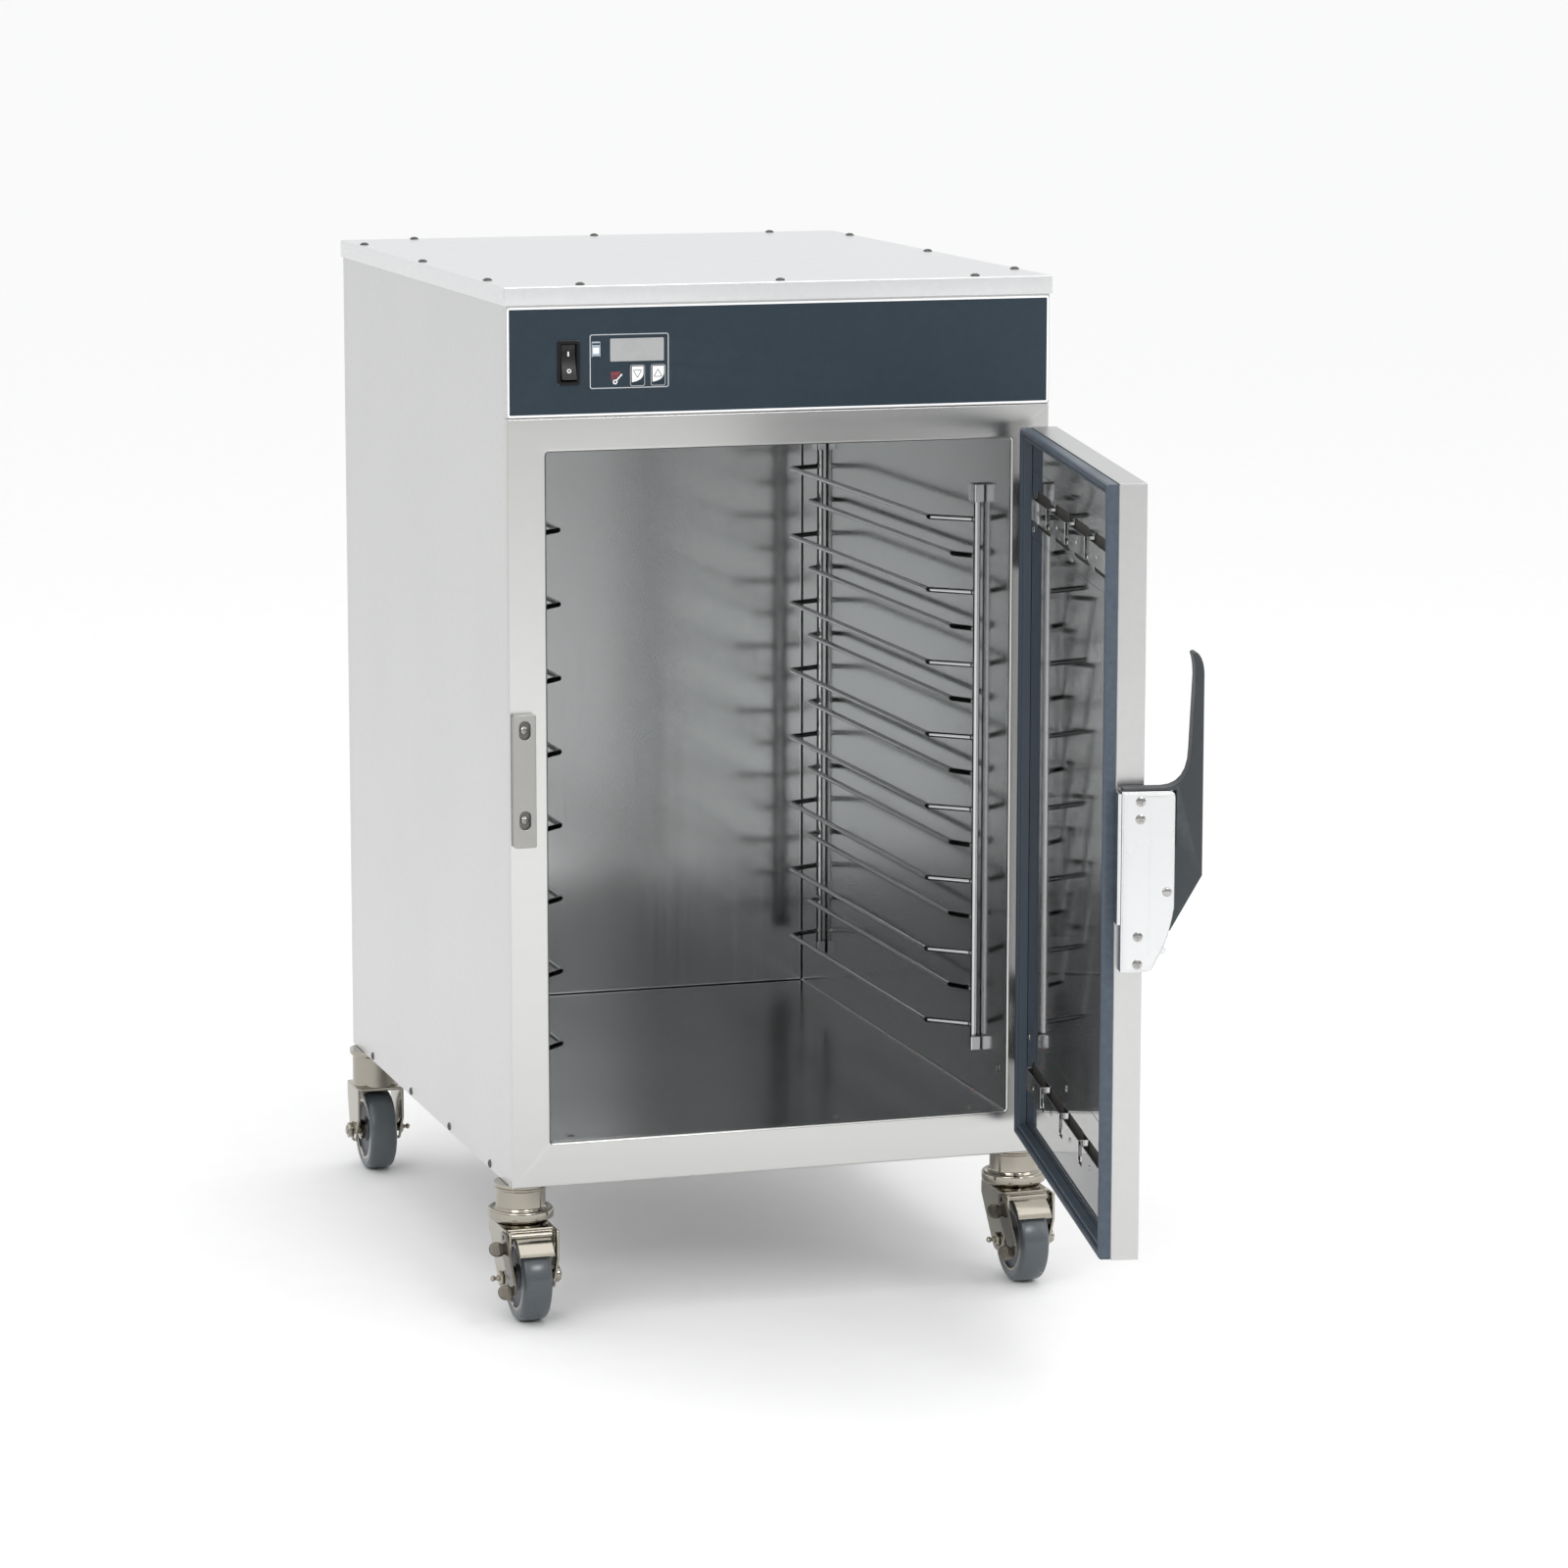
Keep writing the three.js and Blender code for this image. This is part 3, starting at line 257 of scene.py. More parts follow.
ALONG_X = (0.02, 1, 1)
ALONG_Y = (1, 0.02, 1)
ALONG_Z = (1, 1, 0.02)
ROUND = (1, 1, 1)

FINISH = {}


def file_away(slot, maker, name, *values, **sockets):
    """Makes a material and files it under its name, beside the name of its record slot."""
    FINISH[name] = (slot, maker(name, *values, **sockets))


file_away("brushed_stainless", steel, "side_steel", (0.61, 0.615, 0.61), 0.36, ALONG_Y, 0.12)
file_away("brushed_stainless", steel, "door_steel", (0.52, 0.522, 0.515), 0.3, ALONG_Z, 0.1)
file_away("satin_stainless", steel, "frame_steel", (0.56, 0.56, 0.55), 0.22, ALONG_X, 0.05, 0.015)
# Painted light: the cover's satin steel is lighter than the frame's, standing for the bright overhead that
# its top reflects.
file_away("satin_stainless", steel, "cover_steel_painted_light", (0.74, 0.745, 0.75), 0.28, ALONG_X, 0.08)
# Painted shade: the cavity's polished steel is darker than the door's, standing for the shade inside the
# cavity.
file_away("polished_stainless", steel, "cavity_steel_painted_shade", (0.47, 0.478, 0.48), 0.16, ALONG_Z, 0.04, 0.025)
file_away("polished_stainless", steel, "mirror_steel", (0.58, 0.585, 0.585), 0.045, ALONG_Z, 0.01, 0.008)
file_away("chrome", steel, "bright_chrome", (0.5, 0.505, 0.51), 0.09, ROUND, 0.05, 0.03)
file_away("chrome", steel, "latch_chrome", (0.64, 0.645, 0.65), 0.24, ROUND, 0.03, 0.03)
file_away("chrome", steel, "caster_nickel", (0.37, 0.345, 0.295), 0.11, ROUND, 0.02, 0.03, 30.0)
file_away("chrome", steel, "pedal_bronze", (0.13, 0.12, 0.102), 0.2, ROUND, 0.06, 0.05, 40.0)
file_away("satin_stainless", steel, "strike_steel", (0.4, 0.395, 0.38), 0.4, ROUND, 0.2)
file_away("chrome", steel, "dark_screw", (0.13, 0.128, 0.122), 0.3, ROUND, 0.15, 0.05, 40.0)
file_away("chrome", steel, "screw_steel", (0.4, 0.395, 0.385), 0.22, ROUND, 0.1, 0.05, 40.0)
file_away("panel_overlay", plastic, "overlay_slate", (0.02, 0.033, 0.046), 0.5, 1400.0, 0.06,
          Specular_IOR_Level=0.2)
file_away("panel_overlay", plastic, "print_white", (0.86, 0.87, 0.87), 0.5, 1400.0, 0.05)
file_away("panel_overlay", plastic, "print_grey", (0.46, 0.47, 0.48), 0.5, 1400.0, 0.05)
file_away("panel_overlay", plastic, "print_red", (0.42, 0.05, 0.045), 0.5, 1400.0, 0.05)
file_away("black_plastic", plastic, "switch_black", (0.003, 0.003, 0.004), 0.35, 700.0, 0.1,
          Specular_IOR_Level=0.2)
file_away("black_plastic", plastic, "rocker_black", (0.006, 0.006, 0.007), 0.36, 700.0, 0.15,
          Specular_IOR_Level=0.3)
file_away("display_face", plastic, "display_grey", (0.34, 0.345, 0.345), 0.4, 1600.0, 0.03,
          Coat_Weight=0.15)
file_away("display_face", plastic, "lamp_lens", (0.3, 0.36, 0.42), 0.3, 1600.0, 0.03, Coat_Weight=0.3)
file_away("key_white", plastic, "key_cap", (0.85, 0.86, 0.86), 0.45, 1400.0, 0.05)
file_away("gasket_vinyl", plastic, "gasket_vinyl", (0.04, 0.055, 0.075), 0.45, 500.0, 0.12,
          Specular_IOR_Level=0.35)
file_away("lever_grey", plastic, "lever_grey", (0.028, 0.033, 0.037), 0.42, 1100.0, 0.25,
          Specular_IOR_Level=0.35)
file_away("wheel_polyurethane", plastic, "tread_urethane", (0.078, 0.09, 0.1), 0.24, 350.0, 0.08)
file_away("wheel_polyurethane", plastic, "wheel_core", (0.05, 0.06, 0.075), 0.4, 600.0, 0.12)
file_away("mineral_wool", plastic, "wool", (0.035, 0.033, 0.03), 0.95, 300.0, 1.0)
file_away("cable_jacket", plastic, "cable_jacket", (0.42, 0.09, 0.04), 0.6, 900.0, 0.2)
file_away("circuit_laminate", plastic, "laminate", (0.03, 0.14, 0.06), 0.45, 500.0, 0.1)
file_away("transformer_iron", steel, "core_iron", (0.12, 0.12, 0.125), 0.5, ALONG_X, 0.5, 0.05)


# ---------------------------------------------------------------- shapes


def filleted(corners, steps=6):
    """Flat outline through corners (u, v, radius), each rounded by its own radius."""
    loop = []
    count = len(corners)
    for i, (u, v, radius) in enumerate(corners):
        here = Vector((u, v))
        if radius <= 0:
            loop.append(here)
            continue
        back = (Vector(corners[i - 1][:2]) - here).normalized()
        ahead = (Vector(corners[(i + 1) % count][:2]) - here).normalized()
        half = back.angle(ahead) / 2
        centre = here + (back + ahead).normalized() * radius / math.sin(half)
        start = here + back * radius / math.tan(half) - centre
        turn = -1 if back.x * ahead.y - back.y * ahead.x > 0 else 1
        sweep = turn * (math.pi - 2 * half)
        loop += [centre + Matrix.Rotation(sweep * k / steps, 2) @ start for k in range(steps + 1)]
    return loop


def rectangle(u, v, radius=0.0, steps=6):
    corners = ((u[0], v[0]), (u[1], v[0]), (u[1], v[1]), (u[0], v[1]))
    return filleted([(*corner, radius) for corner in corners], steps)


def around(middle, half):
    return (middle - half, middle + half)


def circle(u, v, radius, steps=24):
    return [Vector((u + radius * math.cos(a), v + radius * math.sin(a))) for a in
            (2 * math.pi * k / steps for k in range(steps))]


def area(loop):
    return sum(a.x * b.y - b.x * a.y for a, b in zip(loop, loop[1:] + loop[:1])) / 2


def wound(loop, left):
    """The loop as it is or reversed, so that it runs anticlockwise where left is true."""
    return list(loop) if (area(loop) > 0) == left else list(reversed(loop))


def inset(loop, by):
    """The loop moved by a distance to the left of its run."""
    moved = []
    for i, here in enumerate(loop):
        before = (here - loop[i - 1]).normalized()
        after = (loop[(i + 1) % len(loop)] - here).normalized()
        left = Vector((-before.y - after.y, before.x + after.x))
        moved.append(here + left * by / max(0.3, 1 + before.dot(after)))
    return moved


def eased_run(thick, ease, steps=2):
    """Stations (inset, height) up one eased edge, the wall and the other eased edge."""
    arc = [(ease * (1 - math.sin(a)), ease * (1 - math.cos(a))) for a in
           (math.pi / 2 * k / steps for k in range(steps + 1))]
    return arc + [(by, thick - height) for by, height in reversed(arc)]


def join_rings(shape, lower, upper):
    """Faces between two rings that have the same number of points."""
    for i in range(len(lower)):
        j = (i + 1) % len(lower)
        shape.faces.new((lower[i], lower[j], upper[j], upper[i]))


def add_walls(shape, loop, stations):
    rows = [[shape.verts.new((p.x, p.y, height)) for p in inset(loop, by)] for by, height in stations]
    for lower, upper in zip(rows, rows[1:]):
        join_rings(shape, lower, upper)
    return rows[0], rows[-1]


def add_cap(shape, loops):
    verts = [vert for loop in loops for vert in loop]
    for corners in tessellate_polygon([[vert.co.copy() for vert in loop] for loop in loops]):
        if len({verts[i] for i in corners}) == 3:
            shape.faces.new([verts[i] for i in corners])


def plate(outline, thick, ease=0.3, holes=(), pockets=()):
    """Sheet cut to an outline in u and v, from w = 0 up to its thickness, with eased edges.
    Holes go right through, and pockets (loop, depth) are sunk from the upper face."""
    shape = bmesh.new()
    ease = min(ease, thick * 0.49)
    loops = [wound(outline, True)] + [wound(hole, False) for hole in holes]
    ends = [add_walls(shape, loop, eased_run(thick, ease)) for loop in loops]
    lower = [end[0] for end in ends]
    upper = [end[1] for end in ends]
    for loop, depth in pockets:
        run = [(by, height) for by, height in eased_run(thick, ease) if height > thick / 2]
        floor, rim = add_walls(shape, wound(loop, False), [(0, thick - depth)] + run)
        upper.append(rim)
        add_cap(shape, [floor])
    add_cap(shape, lower)
    add_cap(shape, upper)
    return shape


def lofted(rings, joined=False, capped=False):
    """Skin over a run of closed rings that have the same number of points."""
    shape = bmesh.new()
    rows = [[shape.verts.new(point) for point in ring] for ring in rings]
    pairs = list(zip(rows, rows[1:])) + ([(rows[-1], rows[0])] if joined else [])
    for lower, upper in pairs:
        join_rings(shape, lower, upper)
    if capped:
        shape.faces.new(rows[0])
        shape.faces.new(rows[-1])
    return shape


def turned(profile, steps=48, joined=False):
    """Profile of (radius, height) pairs turned about Z. A radius of nothing closes it at the axis."""
    shape = bmesh.new()
    rows = []
    for radius, height in profile:
        if radius <= 0:
            rows.append([shape.verts.new((0, 0, height))])
        else:
            rows.append([shape.verts.new((p.x, p.y, height)) for p in circle(0, 0, radius, steps)])
    pairs = list(zip(rows, rows[1:])) + ([(rows[-1], rows[0])] if joined else [])
    for lower, upper in pairs:
        if len(lower) > 1 and len(upper) > 1:
            join_rings(shape, lower, upper)
            continue
        for i in range(steps):
            j = (i + 1) % steps
            if len(upper) > 1:
                shape.faces.new((lower[0], upper[j], upper[i]))
            elif len(lower) > 1:
                shape.faces.new((lower[i], lower[j], upper[0]))
    return shape


def bent(corners, radius, steps=6):
    """Path through corners in space, with each inner corner bent to a radius."""
    corners = [Vector(corner) for corner in corners]
    points = [corners[0]]
    for before, here, after in zip(corners, corners[1:], corners[2:]):
        back, ahead = (before - here).normalized(), (after - here).normalized()
        half = back.angle(ahead) / 2
        centre = here + (back + ahead).normalized() * radius / math.sin(half)
        start = here + back * radius / math.tan(half) - centre
        turn = back.cross(ahead).normalized()
        for k in range(steps + 1):
            points.append(centre + Matrix.Rotation(-(math.pi - 2 * half) * k / steps, 3, turn) @ start)
    return points + [corners[-1]]


def swept(points, radius, sides=12, dome_steps=3):
    """Round wire along points, with domed ends."""
    points = [Vector(point) for point in points]
    runs = [(b - a).normalized() for a, b in zip(points, points[1:])]
    tangents = [runs[0]] + [(a + b).normalized() for a, b in zip(runs, runs[1:])] + [runs[-1]]
    side = tangents[0].orthogonal().normalized()
    stations = []
    for point, along in zip(points, tangents):
        side = (side - along * side.dot(along)).normalized()
        stations.append((point, radius, side.copy(), along))
    dome = [math.pi / 2 * k / dome_steps for k in range(1, dome_steps)]
    first, last = stations[0], stations[-1]
    dome = [(radius * math.sin(a), radius * math.cos(a)) for a in dome]
    head = [(first[0] - first[3] * beyond, size, *first[2:]) for beyond, size in reversed(dome)]
    tail = [(last[0] + last[3] * beyond, size, *last[2:]) for beyond, size in dome]
    rings = []
    for centre, size, across, along in head + stations + tail:
        other = along.cross(across)
        angles = (2 * math.pi * k / sides for k in range(sides))
        rings.append([centre + size * (across * math.cos(a) + other * math.sin(a)) for a in angles])
    return lofted(rings, capped=True)


def merged(*shapes):
    whole = bmesh.new()
    for shape in shapes:
        mesh = bpy.data.meshes.new("part")
        shape.to_mesh(mesh)
        shape.free()
        whole.from_mesh(mesh)
        bpy.data.meshes.remove(mesh)
    return whole


def moved(shape, matrix):
    shape.transform(matrix)
    return shape


def basis(u, v, w, origin):
    return Matrix((*zip(u, v, w, origin), (0, 0, 0, 1)))


def on_front(y):
    """Drawing plane across the front: u is X, v is Z, and thickness grows towards the viewer."""
    return basis((1, 0, 0), (0, 0, 1), (0, -1, 0), (0, y, 0))


def on_side(x):
    """Drawing plane along the side: u is Y, v is Z, and thickness grows along X."""
    return basis((0, 1, 0), (0, 0, 1), (1, 0, 0), (x, 0, 0))


def on_top(z):
    return Matrix.Translation((0, 0, z))


def facing(place, normal):
    """Stands a shape drawn round Z at a place, with Z along the normal."""
    turn = Vector((0, 0, 1)).rotation_difference(Vector(normal)).to_matrix().to_4x4()
    return Matrix.Translation(place) @ turn


def placed(name, data):
    """New object in the scene."""
    made = bpy.data.objects.new(name, data)
    bpy.context.scene.collection.objects.link(made)
    return made


def piece(name, shape, finish, body, place=CABINET, stands_for=(), crease=46):
    """Shape drawn in millimetres made into a finished piece that moves with a body."""
    shape.transform(place)
    bmesh.ops.recalc_face_normals(shape, faces=shape.faces)
    mesh = bpy.data.meshes.new(name)
    shape.to_mesh(mesh)
    shape.free()
    mesh.shade_smooth()
    mesh.set_sharp_from_angle(angle=math.radians(crease))
    slot, material = FINISH[finish]
    mesh.materials.append(material)
    made = placed(name, mesh)
    made.modifiers.new("flat_faces", "WEIGHTED_NORMAL").keep_sharp = True
    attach(made, body)
    if stands_for:
        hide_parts(*stands_for)


def deburred(name, finish, ease=0.4, steps=2, corner=32, reshape=None):
    """A node's own shape with its cut edges eased, standing for the node."""
    source = frame["nodes"][name]
    shape = bmesh.new()
    shape.from_mesh(source.data)
    if reshape:
        reshape(shape)
    bmesh.ops.remove_doubles(shape, verts=shape.verts, dist=2e-5)
    bmesh.ops.dissolve_limit(shape, angle_limit=math.radians(0.5), verts=shape.verts, edges=shape.edges)
    cut = [e for e in shape.edges if len(e.link_faces) == 2 and e.calc_face_angle() > math.radians(corner)]
    bmesh.ops.bevel(shape, geom=cut, offset=ease * MM, segments=steps, profile=0.5, affect="EDGES",
                    clamp_overlap=False)
    piece(name + "_eased", shape, finish, source["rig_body"], Matrix.Identity(4), [name])


def refinish(name, finish):
    """Better material on a node whose shape stays."""
    source = frame["nodes"][name]
    for slot in source.material_slots:
        slot.material = FINISH[finish][1]


# ---------------------------------------------------------------- fasteners


def cross_head(radius, height):
    """Pan head with a cross recess, standing on the plane z = 0."""
    arm, depth = 0.15 * radius, 0.55 * height
    shape = bmesh.new()
    centre = shape.verts.new((0, 0, height - depth))
    rows = []
    for share in (0.24, 0.38, 0.52, 0.6, 0.78, 0.92, 1.0, 1.0):
        size = share * radius
        outer = math.asin(min(0.68, arm / size))
        inner = math.asin(min(0.4, 0.6 * arm / size))
        foot = len(rows) == 7
        dome = 0.0 if foot else height * (1 - 0.62 * share**2.4)
        row = []
        for quarter in range(4):
            base = quarter * math.pi / 2
            between = (math.pi / 2 - 2 * outer) / 3
            for angle, sunk in ((-outer, False), (-inner, True), (inner, True), (outer, False),
                                (outer + between, False), (outer + 2 * between, False)):
                low = depth if sunk and share < 0.55 else 0.0
                a = base + angle
                row.append(shape.verts.new((size * math.cos(a), size * math.sin(a), dome - low)))
        rows.append(row)
    count = len(rows[0])
    for i in range(count):
        shape.faces.new((centre, rows[0][i], rows[0][(i + 1) % count]))
    for lower, upper in zip(rows, rows[1:]):
        for i in range(count):
            j = (i + 1) % count
            shape.faces.new((lower[i], upper[i], upper[j], lower[j]))
    shape.faces.new(list(reversed(rows[-1])))
    return shape


def screws(name, places, normal, radius, height, body="cabinet", place=CABINET, finish="screw_steel"):
    """Row of cross-head screws, each turned a little differently, as a fitter leaves them."""
    heads = []
    for i, spot in enumerate(places):
        head = cross_head(radius, height)
        head.transform(facing(spot, normal) @ Matrix.Rotation(0.6 * i + 0.3, 4, "Z"))
        heads.append(head)
    piece(name, merged(*heads), finish, body, place)


def hexagon(radius, low, high, bore=0.0):
    """Hexagon nut or bolt head with chamfered corners, round Z."""
    chamfer = 0.14 * (high - low)
    corner = 0.9 * radius
    run = [(bore, low), (corner, low), (radius, low + chamfer)]
    run += [(radius, high - chamfer), (corner, high), (bore, high)]
    return turned(run, 6, joined=bore > 0)


# ---------------------------------------------------------------- casing

BODY_LOW, BODY_HIGH = box_mm("front_frame")
HALF_WIDTH = BODY_HIGH.x
BODY_BOTTOM = BODY_LOW.z
PANEL_BOTTOM = BODY_HIGH.z
FRAME_SHEET = 1.5
OPENING = {"half": 239.0, "low": BODY_BOTTOM + 44.3, "high": BODY_BOTTOM + 730.4, "radius": 3.0}
COVER_LOW, COVER_HIGH = box_mm("top_cover")
COVER_SCREW = {"radius": 4.6, "height": 2.6}
COVER_TOP = COVER_HIGH.z - COVER_SCREW["height"]
BACK_Y = box_mm("back_panel")[1].y
LINER_LOW, LINER_HIGH = box_mm("liner")
CAVITY_BACK = LINER_HIGH.y - 1.2


def upright_ring(half, low, high, radius, y, steps=5):
    """Rounded rectangle standing across the cabinet at a depth."""
    return [(p.x, y, p.y) for p in rectangle((-half, half), (low, high), max(radius, 0.05), steps)]


def front_frame():
    """Folded front frame: outer return, face and the rolled lip round the opening."""
    bend, lip, sheet = 1.6, 2.6, FRAME_SHEET
    arc = [math.pi / 2 * k / 4 for k in range(5)]
    outer_high = PANEL_BOTTOM

    def outside(inward, y):
        return upright_ring(HALF_WIDTH - inward, BODY_BOTTOM + inward, outer_high - inward, 1.0, y)

    def inside(outward, y):
        half, low, high = OPENING["half"] + outward, OPENING["low"] - outward, OPENING["high"] + outward
        return upright_ring(half, low, high, OPENING["radius"] + outward, y)

    rings = [outside(0, 8)]
    rings += [outside(bend * (1 - math.cos(a)), bend * (1 - math.sin(a))) for a in arc]
    rings += [inside(lip * (1 - math.sin(a)), lip * (1 - math.cos(a))) for a in arc]
    rings += [inside(0, 10), inside(sheet, 10), inside(sheet, lip + sheet), inside(lip + 2, sheet)]
    rings += [outside(sheet, sheet), outside(sheet, 8)]
    apron = plate(rectangle((-262, 262), (1.6, 30)), 1.5, 0.3)
    piece("front_frame_folded", merged(lofted(rings, joined=True), moved(apron, on_top(BODY_BOTTOM))),
          "frame_steel", "cabinet", stands_for=["front_frame"])


def cavity_liner():
    """Welded cavity box with rolled corners and a bend round its back wall."""
    bend, sheet = 2.2, 1.2
    arc = [math.pi / 2 * k / 5 for k in range(6)]
    half, low, high, radius = OPENING["half"], OPENING["low"], OPENING["high"], OPENING["radius"]

    def ring(inward, y, grow=0.0):
        size = inward - grow
        return upright_ring(half - size, low + size, high - size, radius - size, y, 7)

    front = LINER_LOW.y
    inner = [ring(0, front), ring(0, CAVITY_BACK - bend)]
    inner += [ring(bend * (1 - math.cos(a)), CAVITY_BACK - bend * (1 - math.sin(a))) for a in arc[1:]]
    outer = [ring(0, front, sheet), ring(0, CAVITY_BACK + sheet - bend, sheet)]
    outer += [ring(bend * (1 - math.cos(a)), CAVITY_BACK + sheet - bend * (1 - math.sin(a)), sheet)
              for a in arc[1:]]
    shell = lofted(list(reversed(inner)) + outer, capped=True)
    # The liner's darker steel is painted shade of the cavity's inside.
    piece("cavity_liner", shell, "cavity_steel_painted_shade", "cabinet", stands_for=["liner"])


def top_cover():
    """Folded cover with its screw heads."""
    bend, wall = 1.2, 1.5
    arc = [math.pi / 2 * k / 3 for k in range(4)]
    x = (COVER_LOW.x, COVER_HIGH.x)
    y = (COVER_LOW.y, COVER_HIGH.y)

    def ring(inward, z):
        u, v = (x[0] + inward, x[1] - inward), (y[0] + inward, y[1] - inward)
        return [(p.x, p.y, z) for p in rectangle(u, v, max(0.4, 2 - inward), 4)]

    rings = [ring(wall, COVER_TOP - wall), ring(wall, COVER_LOW.z + 0.3), ring(wall - 0.3, COVER_LOW.z)]
    rings += [ring(0.3, COVER_LOW.z), ring(0, COVER_LOW.z + 0.3)]
    rings += [ring(bend * (1 - math.cos(a)), COVER_TOP - bend * (1 - math.sin(a))) for a in arc]
    cover = lofted(rings, capped=True)
    # The cover's lighter steel is painted light from the bright overhead.
    piece("top_cover_folded", cover, "cover_steel_painted_light", "cabinet", stands_for=["top_cover"])
    heads = [(across, along, COVER_TOP) for across in (-201, 2, 204) for along in (12, BACK_Y - 8)]
    heads += [(side * 273.5, along, COVER_TOP) for side in (-1, 1) for along in (90, 360, 626)]
    screws("top_cover_screws", heads, (0, 0, 1), finish="dark_screw", **COVER_SCREW)


def casing_screws():
    """Screws along the foot of each side, the back panel's edges, the underside and the cavity floor."""
    for side, name in ((-1, "left"), (1, "right")):
        spots = [(side * HALF_WIDTH, y, BODY_BOTTOM + 5.5) for y in (90, 260, 430, 610)]
        screws(f"side_screws_{name}", spots, (side, 0, 0), 4.2, 2.0, finish="dark_screw")
    back = [(x, BACK_Y, z) for x in (-262, 262) for z in (BODY_BOTTOM + 30, 380, 600, 820, 985)]
    back += [(x, BACK_Y, z) for x in (-130, 0, 130) for z in (BODY_BOTTOM + 14, 985)]
    screws("back_screws", back, (0, 1, 0), 4.2, 1.8)
    below = [(x, 14, BODY_BOTTOM) for x in (-199, 2, 206)]
    screws("underside_screws", below, (0, 0, -1), 4.4, 2.6, finish="dark_screw")
    low = OPENING["low"]
    screws("cavity_floor_screws", [(x, 24, low) for x in (-212, 66, 208)], (0, 0, 1), 3.6, 1.4)
    for side, name in ((-1, "left"), (1, "right")):
        spot = (side * OPENING["half"], 24, low + 40)
        screws(f"cavity_wall_screw_{name}", [spot], (-side, 0, 0), 3.6, 1.4)


front_frame()
cavity_liner()
top_cover()
casing_screws()
for panel in ("side_panel_left", "side_panel_right", "back_panel"):
    deburred(panel, "side_steel", 0.55)
deburred("base_pan", "side_steel", 0.4)


# ---------------------------------------------------------------- control panel

SWITCH_LOW, SWITCH_HIGH = box_mm("switch_bezel")
SWITCH = Vector(((SWITCH_LOW.x + SWITCH_HIGH.x) / 2, 0, (SWITCH_LOW.z + SWITCH_HIGH.z) / 2))
DISPLAY = box_mm("display_window")
LAMP = box_mm("indicator_lamp")
KEYS = {"down": box_mm("key_down"), "up": box_mm("key_up")}
FILM = 0.25
PRINT = 0.06


def opening_for(low, high, gap, radius=1.0):
    return rectangle((low.x - gap, high.x + gap), (low.z - gap, high.z + gap), radius, 4)


def printed(name, outline, finish, hole=None, lift=0.0, body="cabinet"):
    """Thin print lying on the film, or a printed line where a hole is given."""
    shape = plate(outline, PRINT, 0.02, holes=[hole] if hole else [])
    piece(name, moved(shape, on_front(-lift)), finish, body)


def ring_line(u, v, radius, width):
    """Outer and inner outline of a line of even width round a rectangle."""
    inner = ((u[0] + width, u[1] - width), (v[0] + width, v[1] - width))
    return rectangle(u, v, radius), rectangle(*inner, max(0.1, radius - width))


def control_panel():
    deburred("control_panel", "frame_steel", 0.25)
    u = (-HALF_WIDTH + 0.9, HALF_WIDTH - 0.9)
    v = (PANEL_BOTTOM + 1.0, COVER_LOW.z - 2.0)
    windows = [opening_for(SWITCH_LOW, SWITCH_HIGH, 0.15, 2.4)]
    windows += [opening_for(*DISPLAY, 0.3), opening_for(*LAMP, 0.3)]
    windows += [opening_for(*key, 0.3, 1.2) for key in KEYS.values()]
    film = plate(rectangle(u, v, 3.0), FILM, 0.08, holes=windows)
    piece("panel_film", moved(film, on_front(-0.02)), "overlay_slate", "cabinet")
    lift = FILM + 0.02
    outline, hole = ring_line(u, v, 3.0, 2.0)
    printed("panel_border", outline, "print_white", hole, lift)
    outline, hole = ring_line((-195, -115.4), (927, 979.8), 2.4, 0.9)
    printed("cluster_border", outline, "print_grey", hole, lift)
    for name, (low, high) in KEYS.items():
        outline, hole = ring_line((low.x - 1.4, high.x + 1.4), (low.z - 3.6, high.z + 1.2), 2.2, 0.5)
        printed(f"key_{name}_surround", outline, "print_grey", hole, lift)


def power_switch():
    """Snap-in bezel round a hollow, and the dished rocker with its on and off marks."""
    deburred("switch_bezel", "switch_black", 0.45)
    tilt = Matrix.Translation((SWITCH.x, 1.5, SWITCH.z)) @ Matrix.Rotation(math.radians(-10), 4, "X")
    half, rim, sag = 17, -3.9, 2.0
    heights = [half - 2 * half * k / 12 for k in range(13)]
    dish = [(rim + sag * (1 - (z / half) ** 2), z) for z in heights]
    outline = [Vector(p) for p in dish + [(3, -16), (5.5, 0), (3, 16)]]
    rocker = moved(plate(outline, 15.0, 0.7), on_side(-7.5))
    rocker.transform(tilt)
    piece("rocker_dished", rocker, "rocker_black", "power_rocker", stands_for=["switch_rocker"])
    height = 8.3
    bar = plate(rectangle((-0.7, 0.7), around(height, 2.3), 0.2, 3), 0.12, 0.03)
    ring = plate(circle(0, -height, 2.1), 0.12, 0.03, holes=[circle(0, -height, 1.25)])
    dished = rim + sag * (1 - (height / half) ** 2)
    slope = math.atan2(2 * sag * height / half**2, 1)
    for mark, name, side in ((bar, "rocker_on_mark", 1), (ring, "rocker_off_mark", -1)):
        seat = Matrix.Translation((0, dished, side * height))
        lean = seat @ Matrix.Rotation(side * slope, 4, "X") @ on_top(-side * height)
        piece(name, moved(mark, tilt @ lean @ on_front(0.02)), "print_white", "power_rocker")


def window_pane(name, low, high, finish, stands_for):
    pane = plate(rectangle((low.x, high.x), (low.z, high.z), 1.0, 4), high.y - low.y, 0.25)
    piece(name, moved(pane, on_front(high.y)), finish, "cabinet", stands_for=[stands_for])


def display_and_lamp():
    window_pane("display_pane", *DISPLAY, "display_grey", "display_window")
    window_pane("lamp_pane", *LAMP, "lamp_lens", "indicator_lamp")
    low, high = LAMP
    middle = (low.x + high.x) / 2
    lit = rectangle(around(middle, 2.9), (961.4, 966.8), 0.3, 3)
    printed("lamp_light", lit, "print_white", lift=-low.y)
    for name, z in (("lamp_shade_upper", 970.4), ("lamp_shade_lower", 957.9)):
        printed(name, rectangle(around(middle, 3.9), around(z, 0.9), 0.2, 3), "overlay_slate", lift=-low.y)


